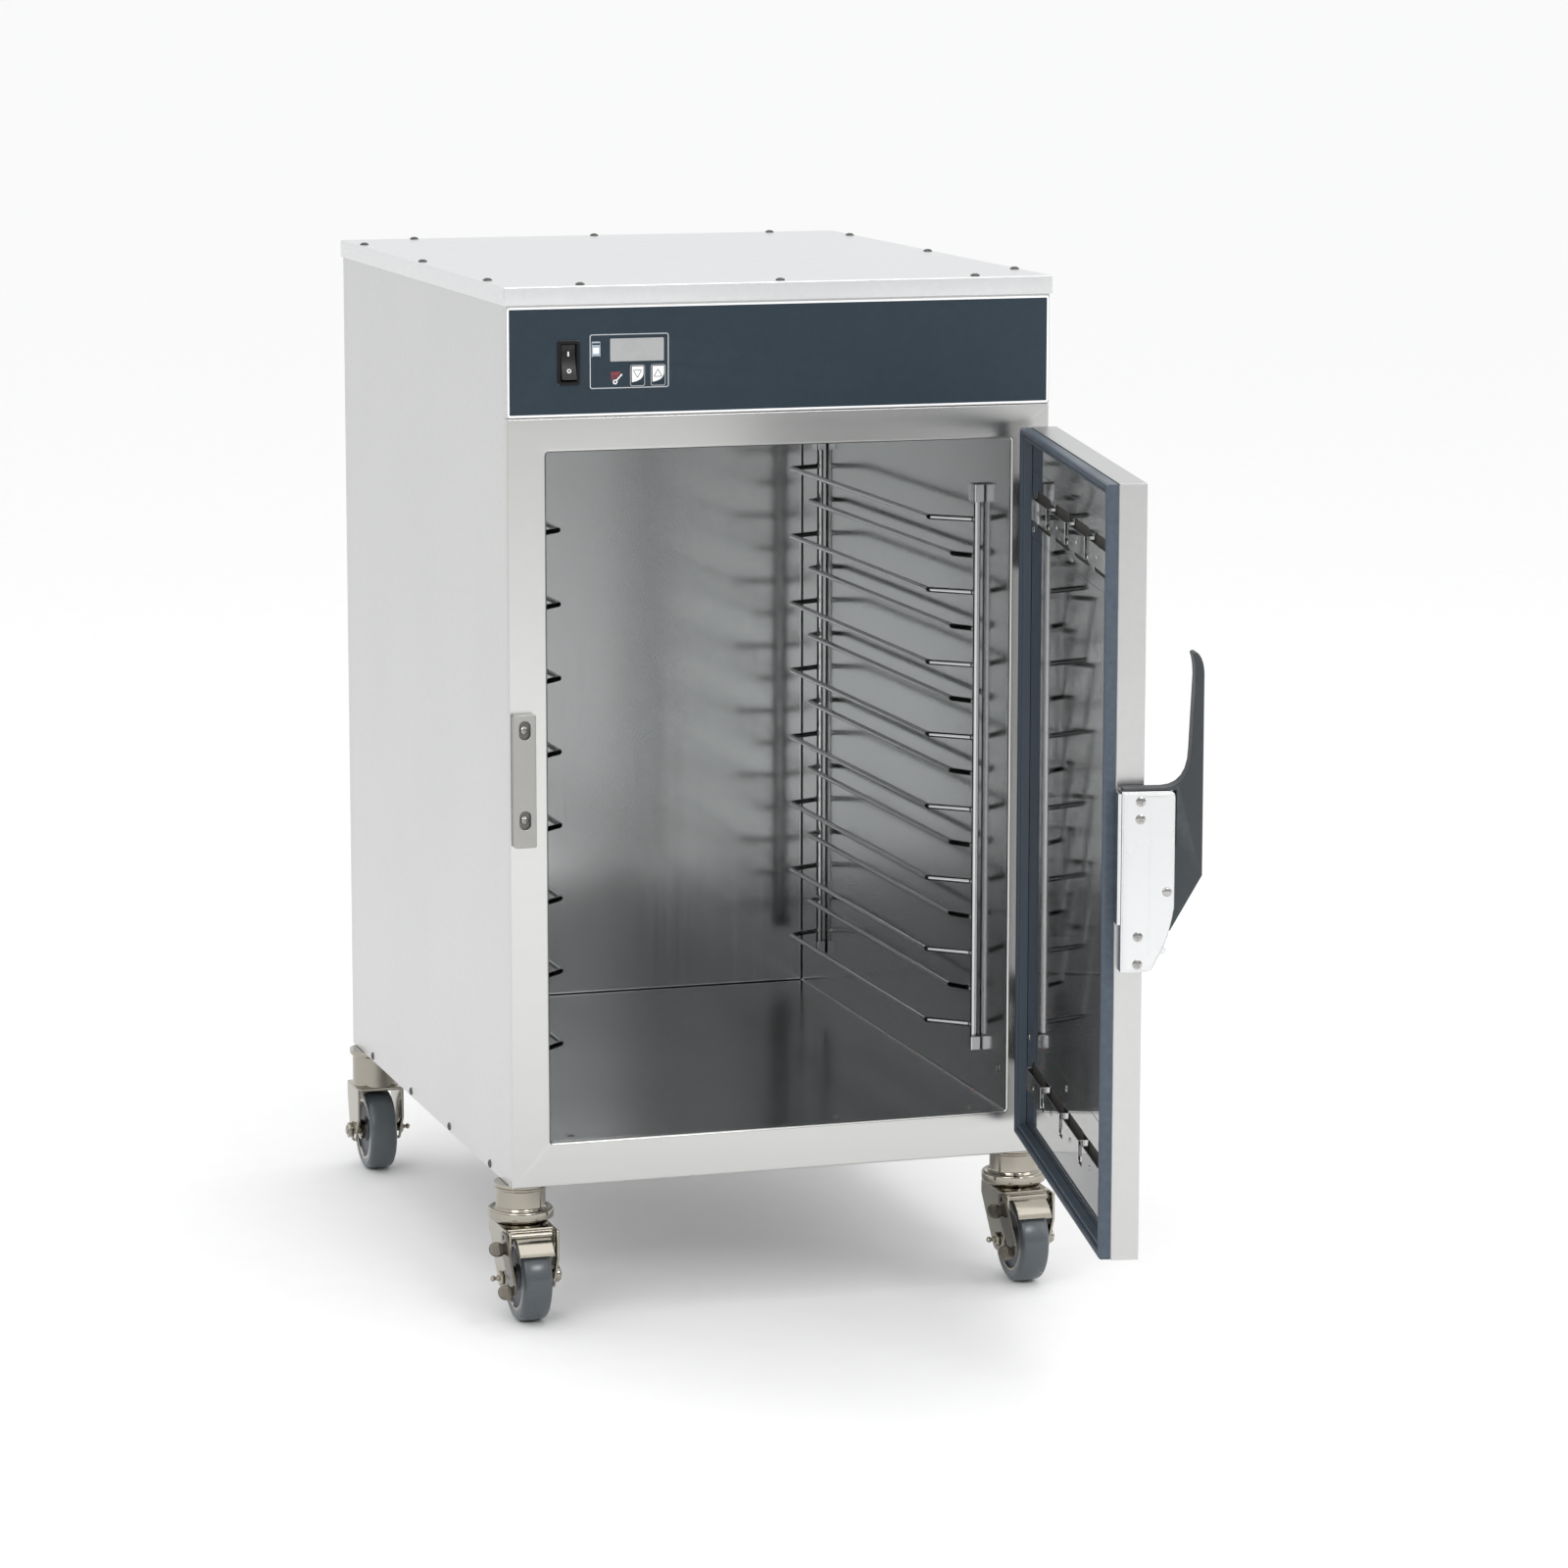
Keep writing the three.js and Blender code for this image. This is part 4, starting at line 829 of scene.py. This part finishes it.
def touch_keys():
    """Film keys, each a white leaf with an outlined arrow."""
    for name, (low, high) in KEYS.items():
        body = f"{name}_key"
        cap = plate(rectangle((low.x, high.x), (low.z, high.z), 1.0, 4), high.y - low.y, 0.2)
        cap.transform(on_front(high.y))
        piece(f"key_{name}_cap", cap, "overlay_slate", body, stands_for=[f"key_{name}"])
        u0, u1, v0, v1 = low.x + 0.2, high.x - 0.2, low.z + 0.3, high.z - 0.2
        leaf = [Vector((u1, v1)), Vector((u0, v1)), Vector((u0, v0))]
        for k in range(1, 9):
            t = k / 8
            leaf.append(Vector((u0, v0)) * (1 - t) ** 2 + Vector((u1 - 0.6, v0 + 1.4)) * 2 * t * (1 - t)
                        + Vector((u1, v0 + 8.2)) * t**2)
        printed(f"key_{name}_leaf", leaf, "key_cap", body=body, lift=-low.y)
        middle, z, point = (low.x + high.x) / 2 - 0.2, low.z + 8.6, -1 if name == "down" else 1
        foot = z - point * 3.6
        corners = [(middle - 4.8, foot), (middle + 4.8, foot), (middle, z + point * 4.6)]
        outer = filleted([(*corner, 0.7) for corner in corners], 4)
        inner = inset(wound(outer, True), 0.65)
        printed(f"key_{name}_arrow", outer, "overlay_slate", inner, PRINT - low.y, body)


def heat_symbol():
    """Row of rising heat waves beside a small probe."""
    lift = FILM + 0.02
    shapes = [plate(rectangle((-173.9, -164.6), (941.2, 941.9), 0.2, 2), PRINT, 0.02)]
    for k in range(5):
        x, foot = -173.0 + 1.9 * k, 935.0 + 0.75 * k
        wave = []
        for side in (1, -1):
            run = [foot + (943.2 - foot) * t / 6 for t in range(7)][::side]
            wave += [Vector((x + 0.28 * math.sin((z - foot) * 1.5) + side * 0.28, z)) for z in run]
        shapes.append(plate(wave, PRINT, 0.02))
    piece("heat_waves", moved(merged(*shapes), on_front(-lift)), "print_red", "cabinet")
    along = Vector((0.68, 0.73)).normalized()
    across = Vector((-along.y, along.x))
    foot = Vector((-169.6, 933.2))
    ends = [foot + along * 2.0, foot + along * 10.2]
    stick = [ends[0] - across * 0.6, ends[1] - across * 0.6, ends[1] + across * 0.6, ends[0] + across * 0.6]
    probe = [plate(stick, PRINT, 0.02), plate(circle(*foot, 2.3), PRINT, 0.02, holes=[circle(*foot, 1.2)])]
    piece("heat_probe", moved(merged(*probe), on_front(-lift)), "print_white", "cabinet")


control_panel()
power_switch()
display_and_lamp()
touch_keys()
heat_symbol()
deburred("cord_gland", "switch_black", 0.5)


# ---------------------------------------------------------------- pan racks

ROD_RADIUS, WIRE_RADIUS = 3.6, 2.75
ROD_X = 233.8
RACK_LOW, RACK_HIGH = box_mm("rack_left")
ROD_Y = (RACK_LOW.y + ROD_RADIUS, RACK_HIGH.y - ROD_RADIUS)
FIRST_LEVEL, LEVEL_PITCH, LEVELS = BODY_BOTTOM + 117.3, 74.6, 8


def pan_rack(side, name):
    """Two upright rods with the bracket wires welded between them."""
    shapes = []
    for y in ROD_Y:
        low, high, chamfer = RACK_LOW.z, RACK_HIGH.z, 1.2
        run = [(0, low), (ROD_RADIUS - chamfer, low), (ROD_RADIUS, low + chamfer)]
        run += [(ROD_RADIUS, high - chamfer), (ROD_RADIUS - chamfer, high), (0, high)]
        shapes.append(moved(turned(run, 24), Matrix.Translation((side * ROD_X, y, 0))))
    for half_level in range(2 * LEVELS - 1):
        z = FIRST_LEVEL + half_level * LEVEL_PITCH / 2
        x, front, back = (195, 121, 589) if half_level % 2 == 0 else (217.5, 113, 593)
        rods = [Vector((side * ROD_X, y, z)) for y in ROD_Y]
        bends = [Vector((side * x, y, z)) for y in (front, back)]
        shapes.append(swept(bent([rods[0], *bends, rods[1]], 7), WIRE_RADIUS, 14))
        for rod, toward in zip(rods, bends):
            along = (toward - rod).normalized()
            bead = [(0, -0.6), (WIRE_RADIUS + 0.9, -0.6), (WIRE_RADIUS + 0.7, 0.4)]
            bead += [(WIRE_RADIUS, 1.4), (0, 1.4)]
            shapes.append(moved(turned(bead, 14), facing(rod + along * (ROD_RADIUS + 0.1), along)))
    rack = merged(*shapes)
    piece(f"pan_rack_{name}", rack, "bright_chrome", f"{name}_rack", CABINET, [f"rack_{name}"], 50)


for side, name in ((-1, "left"), (1, "right")):
    pan_rack(side, name)
    for end in ("front", "back"):
        for level in ("top", "bottom"):
            deburred(f"rack_clip_{name}_{end}_{level}", "bright_chrome", 0.5, 3)


# ---------------------------------------------------------------- door

DOOR_X = (-252.0, 256.8)
DOOR_Z = (BODY_BOTTOM + 28.1, BODY_BOTTOM + 744.7)
DOOR_INNER_Y = -11.9
VENT_ROWS = {"top": BODY_BOTTOM + 668, "bottom": BODY_BOTTOM + 94.5}
VENT_PITCH, VENT_COUNT = 112, 4
VENT_MIDDLES = [sum(DOOR_X) / 2 + (i - (VENT_COUNT - 1) / 2) * VENT_PITCH for i in range(VENT_COUNT)]


def door_gasket():
    """Push-in vinyl gasket with two bulbs and a groove, mitred at the corners."""
    base = DOOR_INNER_Y + 0.3
    run = [(0.8, base), (0.8, base + 3.4)]
    wide = (math.radians(-20 + 20 * k) for k in range(11))
    run += [(4.2 - 3.5 * math.cos(a), -4.1 + 3.7 * math.sin(a)) for a in wide]
    run += [(7.4, -6.3), (7.9, -6.5), (8.4, -6.2)]
    narrow = (math.radians(10 + 20 * k) for k in range(9))
    run += [(9.9 - 1.9 * math.cos(a), -5.4 + 2.1 * math.sin(a)) for a in narrow]
    run += [(12.0, base + 3.2), (12.4, base + 1.0), (12.4, base)]
    rings = []
    for by, y in run:
        by = min(by, 12.55)
        u, v = (DOOR_X[0] + by, DOOR_X[1] - by), (DOOR_Z[0] + by, DOOR_Z[1] - by)
        rings.append([(u[0], y, v[0]), (u[1], y, v[0]), (u[1], y, v[1]), (u[0], y, v[1])])
    gasket = lofted(rings, joined=True)
    piece("door_gasket_bulbs", gasket, "gasket_vinyl", "door", DOOR, ["door_gasket"], 34)


def vent_rivets():
    for row, z in VENT_ROWS.items():
        spots = [(x, DOOR_INNER_Y + 5.5, z) for x in VENT_MIDDLES]
        rivet = [(0, 1.1), (1.2, 1.05), (2.2, 0.7), (2.8, 0.1), (2.8, 0), (0, 0)]
        shapes = [moved(turned(rivet, 20), facing(spot, (0, 1, 0))) for spot in spots]
        piece(f"vent_rivets_{row}", merged(*shapes), "screw_steel", "door", DOOR)
    across, up = (DOOR_X[0] + 24, 2.4, DOOR_X[1] - 24), (BODY_BOTTOM + 132, BODY_BOTTOM + 645)
    spots = [(x, DOOR_INNER_Y, z) for x in across for z in up]
    screws("vent_plate_screws", spots, (0, 1, 0), 3.4, 1.2, "door", DOOR)


deburred("door_outer_shell", "door_steel", 0.5, 3)
deburred("door_inner_panel", "mirror_steel", 0.2, 1)
deburred("door_vent_top", "mirror_steel", 0.35)
deburred("door_vent_bottom", "mirror_steel", 0.35)
door_gasket()
vent_rivets()


# ---------------------------------------------------------------- hinges, strike and latch

LATCH_X = (-276.3, -252.3)
LATCH_Z = (BODY_BOTTOM + 302, BODY_BOTTOM + 468.5)
COVER_BED = LATCH_X[0] + 2.2
COVER_FACE = COVER_BED - 0.9
STRIKE_LOW, STRIKE_HIGH = box_mm("strike_plate")


def out(distance):
    """Closed-door Y of a distance outward from the door's inner face."""
    return DOOR_INNER_Y - distance


def strike_plate():
    """Thick keeper bar with two oval slots and their screws, and painted shade on the slot floors."""
    middle = (STRIKE_LOW.x + STRIKE_HIGH.x) / 2
    spots = [(middle, BODY_BOTTOM + 460.3), (middle, BODY_BOTTOM + 371.3)]
    slots = [(rectangle(around(x, 5.6), around(z, 9.2), 5.5, 8), 4.2) for x, z in spots]
    bar = plate(rectangle((STRIKE_LOW.x, STRIKE_HIGH.x), (STRIKE_LOW.z, STRIKE_HIGH.z), 2.0),
                STRIKE_HIGH.y - STRIKE_LOW.y, 0.7, pockets=slots)
    bar.transform(on_front(STRIKE_HIGH.y))
    piece("strike_bar", bar, "strike_steel", "cabinet", stands_for=["strike_plate"])
    # Thin dark sheets on the slot floors are painted shade, darkening the slots where shade falls.
    slot_shade_sheets = [moved(plate(slot, 0.3, 0.1), on_front(STRIKE_LOW.y + depth)) for slot, depth in slots]
    piece("strike_slot_painted_shade", merged(*slot_shade_sheets), "dark_screw", "cabinet")
    screws("strike_screws", [(x, STRIKE_LOW.y + 3.9, z) for x, z in spots], (0, -1, 0), 4.2, 2.6)


def sink_latch_side(shape):
    """Sinks the latch's outer side, so that the cover plate and its screws stay within its width."""
    shape.transform(DOOR.inverted())
    for vert in shape.verts:
        if vert.co.x < LATCH_X[0] + 0.2:
            vert.co.x = COVER_BED
    shape.transform(DOOR)


def latch():
    """Raised cover plate on the latch, its crease, screws and pivot dimple."""
    deburred("latch_housing", "latch_chrome", 0.7, 3, reshape=sink_latch_side)
    deburred("magnet_bar", "bright_chrome", 0.3)
    foot, head = LATCH_Z
    rim = [(out(6.5), foot + 3, 1.5), (out(25.5), foot + 2.2, 4), (out(32.2), foot + 8, 6),
           (out(44.5), foot + 34, 20), (out(48.8), foot + 61, 20), (out(48.8), head - 2.5, 6),
           (out(6.5), head - 4.5, 1.5)]
    cover = plate(filleted(rim), 0.9, 0.45)
    piece("latch_cover", moved(cover, on_side(COVER_FACE)), "latch_chrome", "door", DOOR)
    crease = plate(rectangle((out(28.2), out(27.2)), (foot + 14, head - 8), 0.45, 4), 0.35, 0.3)
    piece("latch_crease", moved(crease, on_side(COVER_FACE - 0.2)), "latch_chrome", "door", DOOR)
    places = ((19, 459), (18.8, 443), (17.5, 335), (17.3, 309.5))
    spots = [(COVER_FACE, out(away), BODY_BOTTOM + z) for away, z in places]
    screws("latch_screws", spots, (-1, 0, 0), 4.6, 1.25, "door", DOOR)
    dimple = [(0, 1.2), (2.6, 1.15), (3.7, 0.8), (4.3, 0.2), (4.3, -0.3), (0, -0.3)]
    shape = moved(turned(dimple, 28), facing((COVER_FACE, out(43.8), BODY_BOTTOM + 376), (-1, 0, 0)))
    piece("latch_pivot_cap", shape, "screw_steel", "door", DOOR)


def hinges():
    """Eased hinge leaves and the screws of the ones on the frame."""
    for level, z in (("upper", BODY_BOTTOM + 640), ("lower", BODY_BOTTOM + 132)):
        for leaf in ("frame", "door"):
            deburred(f"hinge_{level}_{leaf}_leaf", "bright_chrome", 0.35)
        spots = [(267.0, -2.8, z + step) for step in (-30, 0, 30)]
        screws(f"hinge_{level}_screws", spots, (0, -1, 0), 3.6, 1.2)


strike_plate()
latch()
hinges()
deburred("handle_lever", "lever_grey", 1.1, 3)


# ---------------------------------------------------------------- casters

WHEEL_RADIUS = 44.5
CASTER_X, FRONT_Y, REAR_Y, TRAIL = 261.0, 36.0, 676.0, 27.0
FORK_TOP, FORK_INNER, FORK_OUTER = 96.0, 23.0, 26.0
BRAKE_SHAFT = (FRONT_Y - 45.5, 90.4)
ACROSS = Matrix.Rotation(math.pi / 2, 4, "Y")


def caster_wheel(name, x, y, body, stands_for):
    """Cast urethane tyre on its core, with a plated ring and a recessed disc on each face."""
    centre = Matrix.Translation((x, y, WHEEL_RADIUS)) @ ACROSS
    tread = [(33.5, -14.2), (34.5, -15), (38.5, -15)]
    shoulder = (math.radians(15 + 15 * k) for k in range(5))
    tread += [(38.3 + 5.4 * math.sin(a), -9.6 - 5.4 * math.cos(a)) for a in shoulder]
    tread += [(44.2, -6.2), (WHEEL_RADIUS, 0)]
    tread += [(r, -h) for r, h in reversed(tread[:-1])]
    tyre = moved(turned(tread, 72, joined=True), centre)
    piece(f"{name}_tyre", tyre, "tread_urethane", body, CABINET, [stands_for], 40)
    core = [(6, -13), (13, -13), (13.6, -11.4), (29.4, -11.4), (30.2, -12.6), (33.6, -12.6)]
    core += [(radius, -height) for radius, height in reversed(core)]
    piece(f"{name}_core", moved(turned(core, 60, joined=True), centre), "wheel_core", body)
    rims = []
    for face in (-1, 1):
        band = ((30.4, 12.5), (30.9, 14.2), (32.2, 14.6), (33.3, 14.3), (33.6, 12.5))
        hub = ((5.6, 12.9), (10.8, 12.9), (10.8, 18), (9.8, 18.8), (5.6, 18.8))
        for run, steps in ((band, 60), (hub, 40)):
            ring = turned([(radius, face * height) for radius, height in run], steps, joined=True)
            rims.append(moved(ring, centre))
    piece(f"{name}_rims", merged(*rims), "caster_nickel", body)


def caster_axle(name, x, y, nut_side, body, stands_for):
    """Axle bolt with a nut and washer at one end and a grease nipple at the other."""
    turn = ACROSS if nut_side > 0 else Matrix.Rotation(-math.pi / 2, 4, "Y")
    centre = Matrix.Translation((x, y, WHEEL_RADIUS)) @ turn
    f = FORK_OUTER
    nipple = ((0, 12.4), (1.6, 12.2), (2.8, 11.2), (3.2, 10), (2.8, 8.8),
              (1.9, 7.8), (1.9, 6.4), (3.0, 5.6), (3.0, 3.6), (0, 3.6))
    shapes = [
        turned([(0, -f - 1), (4.6, -f - 1), (4.6, f + 7), (3.6, f + 8), (0, f + 8)], 24),
        turned([(5, f + 0.3), (9.2, f + 0.3), (9.2, f + 1.3), (5, f + 1.3)], 30, joined=True),
        hexagon(8.5, f + 1.3, f + 6.4, 4.4),
        hexagon(7.5, -f - 3.8, -f - 0.3),
        turned([(radius, -f - beyond) for radius, beyond in nipple], 20),
    ]
    axle = moved(merged(*shapes), centre)
    piece(f"{name}_axle_set", axle, "caster_nickel", body, stands_for=[stands_for])


def leg_loop(y, axle_y, front, back, shoulder):
    """Outline of one fork leg in Y and Z, down to a round end at the axle."""
    end, top = 13, FORK_TOP - 0.4
    loop = [(y - front, top, 2), (y - front, shoulder, 4), (axle_y - end - 0.3, WHEEL_RADIUS - 2, 3),
            (axle_y - end, WHEEL_RADIUS - end, 12.4), (axle_y + end, WHEEL_RADIUS - end, 12.4),
            (y + back, FORK_TOP - 14, 6), (y + back, top, 2)]
    return filleted(loop, 5)


def fork(name, x, y, axle_y, front, back, plate_front, body, stands_for, extra=()):
    """Pressed fork: crown plate, two legs and the arched web that joins them in front."""
    shapes = list(extra)
    raked = axle_y != y
    outline = leg_loop(y, axle_y, front, back, 68 if raked else 60)
    for side in (-1, 1):
        leg = plate(outline, FORK_OUTER - FORK_INNER, 0.8)
        shapes.append(moved(leg, on_side(x + (FORK_INNER if side > 0 else -FORK_OUTER))))
    deck = rectangle(around(x, FORK_OUTER - 0.6), (y - plate_front, y + back - 0.6), 3)
    crown = plate(deck, 3.6, 0.9)
    shapes.append(moved(crown, on_top(FORK_TOP - 3.8)))
    if raked:
        half = FORK_INNER + 0.4
        web = [(-half, 68, 0.5), (-half, 93.5, 2), (half, 93.5, 2), (half, 68, 0.5), (half - 3, 68, 0.5),
               (half - 4.5, 89.5, 12), (4.5 - half, 89.5, 12), (3 - half, 68, 0.5)]
        web = [(x + across, up, radius) for across, up, radius in web]
        shapes.append(moved(plate(filleted(web, 6), 2.4, 0.8), on_front(y - plate_front + 2.0)))
    piece(f"{name}_fork_pressed", merged(*shapes), "caster_nickel", body, stands_for=[stands_for])


def swivel_mount(name, x, y):
    """Stem collar over the raceway ring of the swivel."""
    top = BODY_BOTTOM - 0.3
    raceway = ((0, 0.4), (27, 0.4), (28, 2.4), (31, 2.8), (32.6, 3.8), (33, 5.4), (33, 11.4), (32.2, 13.2),
               (30.4, 14), (28.4, 13.2), (26.8, 13.0), (25.8, 14.6), (25, 16.4))
    flanges = ((25, 7.4), (25.7, 6.6), (26.3, 6.0), (26.3, 4.6), (25.6, 4.0), (26.4, 3.4),
               (26.4, 0), (0, 0))
    profile = [(radius, FORK_TOP + above) for radius, above in raceway]
    profile += [(radius, top - below) for radius, below in flanges]
    collar = moved(turned(profile, 72), Matrix.Translation((x, y, 0)))
    piece(f"{name}_mount_turned", collar, "caster_nickel", "cabinet", stands_for=[f"{name}_mount"])


def foot_brake(name, x, body):
    """Foot brake: shoe over the tread, cross shaft, side lever and two ribbed oval pedals."""
    shaft_y, shaft_z = BRAKE_SHAFT
    wheel_y = FRONT_Y - TRAIL
    left = x - FORK_OUTER - 3.5
    shaft = turned([(0, left), (2.4, left), (3, left + 0.6), (3, x + 19.4), (2.4, x + 20), (0, x + 20)], 24)
    shapes = [moved(shaft, Matrix.Translation((0, shaft_y, shaft_z)) @ ACROSS)]
    axle = Vector((wheel_y, WHEEL_RADIUS))
    arc = [math.radians(90 + 20 + 34 * k / 8) for k in range(9)]
    outer = [axle + (WHEEL_RADIUS + 5.4) * Vector((math.cos(a), math.sin(a))) for a in arc]
    inner = [axle + (WHEEL_RADIUS + 2.9) * Vector((math.cos(a), math.sin(a))) for a in arc]
    shapes.append(moved(plate(outer + inner[::-1], 36, 0.8), on_side(x - 18)))
    piece(f"{name}_brake_pressed", merged(*shapes), "caster_nickel", body, stands_for=[f"{name}_brake"])
    shapes = []
    lever = ((9, 5), (9, -16), (-28, -54), (-42, -48), (-42, -38), (-7, 5))
    lever = filleted([(shaft_y + along, shaft_z + up, 4) for along, up in lever])
    shapes.append(moved(plate(lever, 2.5, 0.6), on_side(left)))
    for tab_y, tab_z in ((shaft_y + 1, shaft_z - 12), (shaft_y - 34, shaft_z - 47)):
        tilt = Matrix.Translation((0, tab_y, tab_z)) @ Matrix.Rotation(math.radians(48), 4, "X")
        tab = plate(rectangle((x - FORK_OUTER - 18, left + 1.5), around(0, 8), 7.4, 8), 2.8, 0.9)
        shapes.append(moved(tab, tilt @ on_top(-1.4)))
        for k in range(4):
            rib = rectangle(around(x - FORK_OUTER - 13.4 + 2.8 * k, 0.6), around(0, 4.6), 0.5, 3)
            shapes.append(moved(plate(rib, 0.5, 0.25), tilt @ on_top(1.2)))
    piece(f"{name}_brake_pedals", merged(*shapes), "pedal_bronze", body)


def rear_collar(x):
    top = BODY_BOTTOM - 0.3
    profile = [(0, FORK_TOP - 1), (24.6, FORK_TOP - 1), (25, FORK_TOP - 0.4), (25, top - 8),
               (26, top - 6.4), (27.6, top - 4.8), (28, top - 4), (28, top), (0, top)]
    return moved(turned(profile, 72), Matrix.Translation((x, REAR_Y, 0)))


for side, name in ((-1, "left"), (1, "right")):
    x = side * CASTER_X
    front = f"caster_front_{name}"
    swivel_mount(front, x, FRONT_Y)
    fork(front, x, FRONT_Y, FRONT_Y - TRAIL, 53, 26, 39, f"front_{name}_swivel", f"{front}_fork")
    caster_axle(front, x, FRONT_Y - TRAIL, 1, f"front_{name}_swivel", f"{front}_axle")
    caster_wheel(front, x, FRONT_Y - TRAIL, f"front_{name}_wheel", f"{front}_wheel")
    foot_brake(front, x, f"front_{name}_brake")
    rear = f"caster_rear_{name}"
    fork(rear, x, REAR_Y, REAR_Y, 26, 26, 26, "cabinet", f"{rear}_fork", [rear_collar(x)])
    caster_axle(rear, x, REAR_Y, -1, "cabinet", f"{rear}_axle")
    caster_wheel(rear, x, REAR_Y, f"rear_{name}_wheel", f"{rear}_wheel")


# ---------------------------------------------------------------- hidden works

for name, finish in (
    ("insulation", "wool"), ("door_insulation", "wool"), ("heating_cable", "cable_jacket"),
    ("temperature_sensor", "bright_chrome"), ("circuit_board", "laminate"), ("transformer", "core_iron"),
):
    refinish(name, finish)


# ---------------------------------------------------------------- studio


def floor():
    shape = bmesh.new()
    reach, cells = 90.0, 6
    bmesh.ops.create_grid(shape, x_segments=cells, y_segments=cells, size=reach)
    mesh = bpy.data.meshes.new("studio_floor")
    shape.to_mesh(mesh)
    shape.free()
    material, tree, shader = bare_material("floor_paint", Roughness=0.7)
    skin = use(tree, MOULDED, Fineness=60.0)
    pale = blend_colour(tree, skin["Cloud"], (0.9, 0.9, 0.9), (0.93, 0.93, 0.93))
    tree.links.new(pale, shader["Base Color"])
    mesh.materials.append(material)
    made = placed("studio_floor", mesh)


def soft_light(name, place, target, size, power):
    lamp = bpy.data.lights.new(name, "AREA")
    lamp.shape = "RECTANGLE"
    lamp.size, lamp.size_y = size
    lamp.energy = power
    made = placed(name, lamp)
    made.location = place
    made.rotation_euler = (Vector(target) - Vector(place)).to_track_quat("-Z", "Y").to_euler()


def studio_air():
    """Soft light from all round: white overhead, pale at eye height behind, and greyer in front."""
    world = bpy.data.worlds.new("studio_air")
    world.use_nodes = True
    tree = world.node_tree
    tree.nodes.clear()
    direction = node(tree, "ShaderNodeTexCoord").outputs["Generated"]
    toward = node(tree, "ShaderNodeSeparateXYZ", {0: direction}).outputs
    back = {"Value": toward["Y"], "From Min": -0.9, "From Max": 0.1}
    behind = node(tree, "ShaderNodeMapRange", back).outputs[0]
    level = blend_colour(tree, behind, (0.14, 0.145, 0.15), (0.78, 0.79, 0.8))
    up = {"Value": toward["Z"], "From Min": 0.02, "From Max": 0.5}
    share = node(tree, "ShaderNodeMapRange", up).outputs[0]
    colour = node(tree, "ShaderNodeMix", {0: share, 6: level, 7: (1, 1, 1, 1)}, data_type="RGBA").outputs[2]
    air = node(tree, "ShaderNodeBackground", {"Color": colour, "Strength": 1.08})
    node(tree, "ShaderNodeOutputWorld", {"Surface": air.outputs[0]})
    bpy.context.scene.world = world


def camera():
    lens = bpy.data.cameras.new("camera")
    lens.lens, lens.sensor_width = 122.75, 36
    lens.clip_end = 300
    pitch, roll, yaw = -0.168, -0.001, -0.303
    made = placed("camera", lens)
    made.location = (-1.5564, -5.0700, 1.4162)
    made.rotation_euler = (math.pi / 2 + pitch, roll, yaw)
    bpy.context.scene.camera = made


floor()
studio_air()
soft_light("key_softbox", (-3.2, -3.4, 3.2), (0, 0, 0.6), (2.4, 2.4), 45)
soft_light("fill_softbox", (3.4, -2.6, 2.4), (0, 0, 0.5), (2.0, 2.6), 25)
soft_light("front_softbox", (0.7, -3.8, 2.5), (0.7, -3.6, 0), (1.2, 1.2), 48)
soft_light("top_softbox", (0.2, -0.6, 4.2), (0, 0, 0.5), (3.0, 3.0), 25)
camera()
bpy.context.scene.view_settings.view_transform = "Standard"
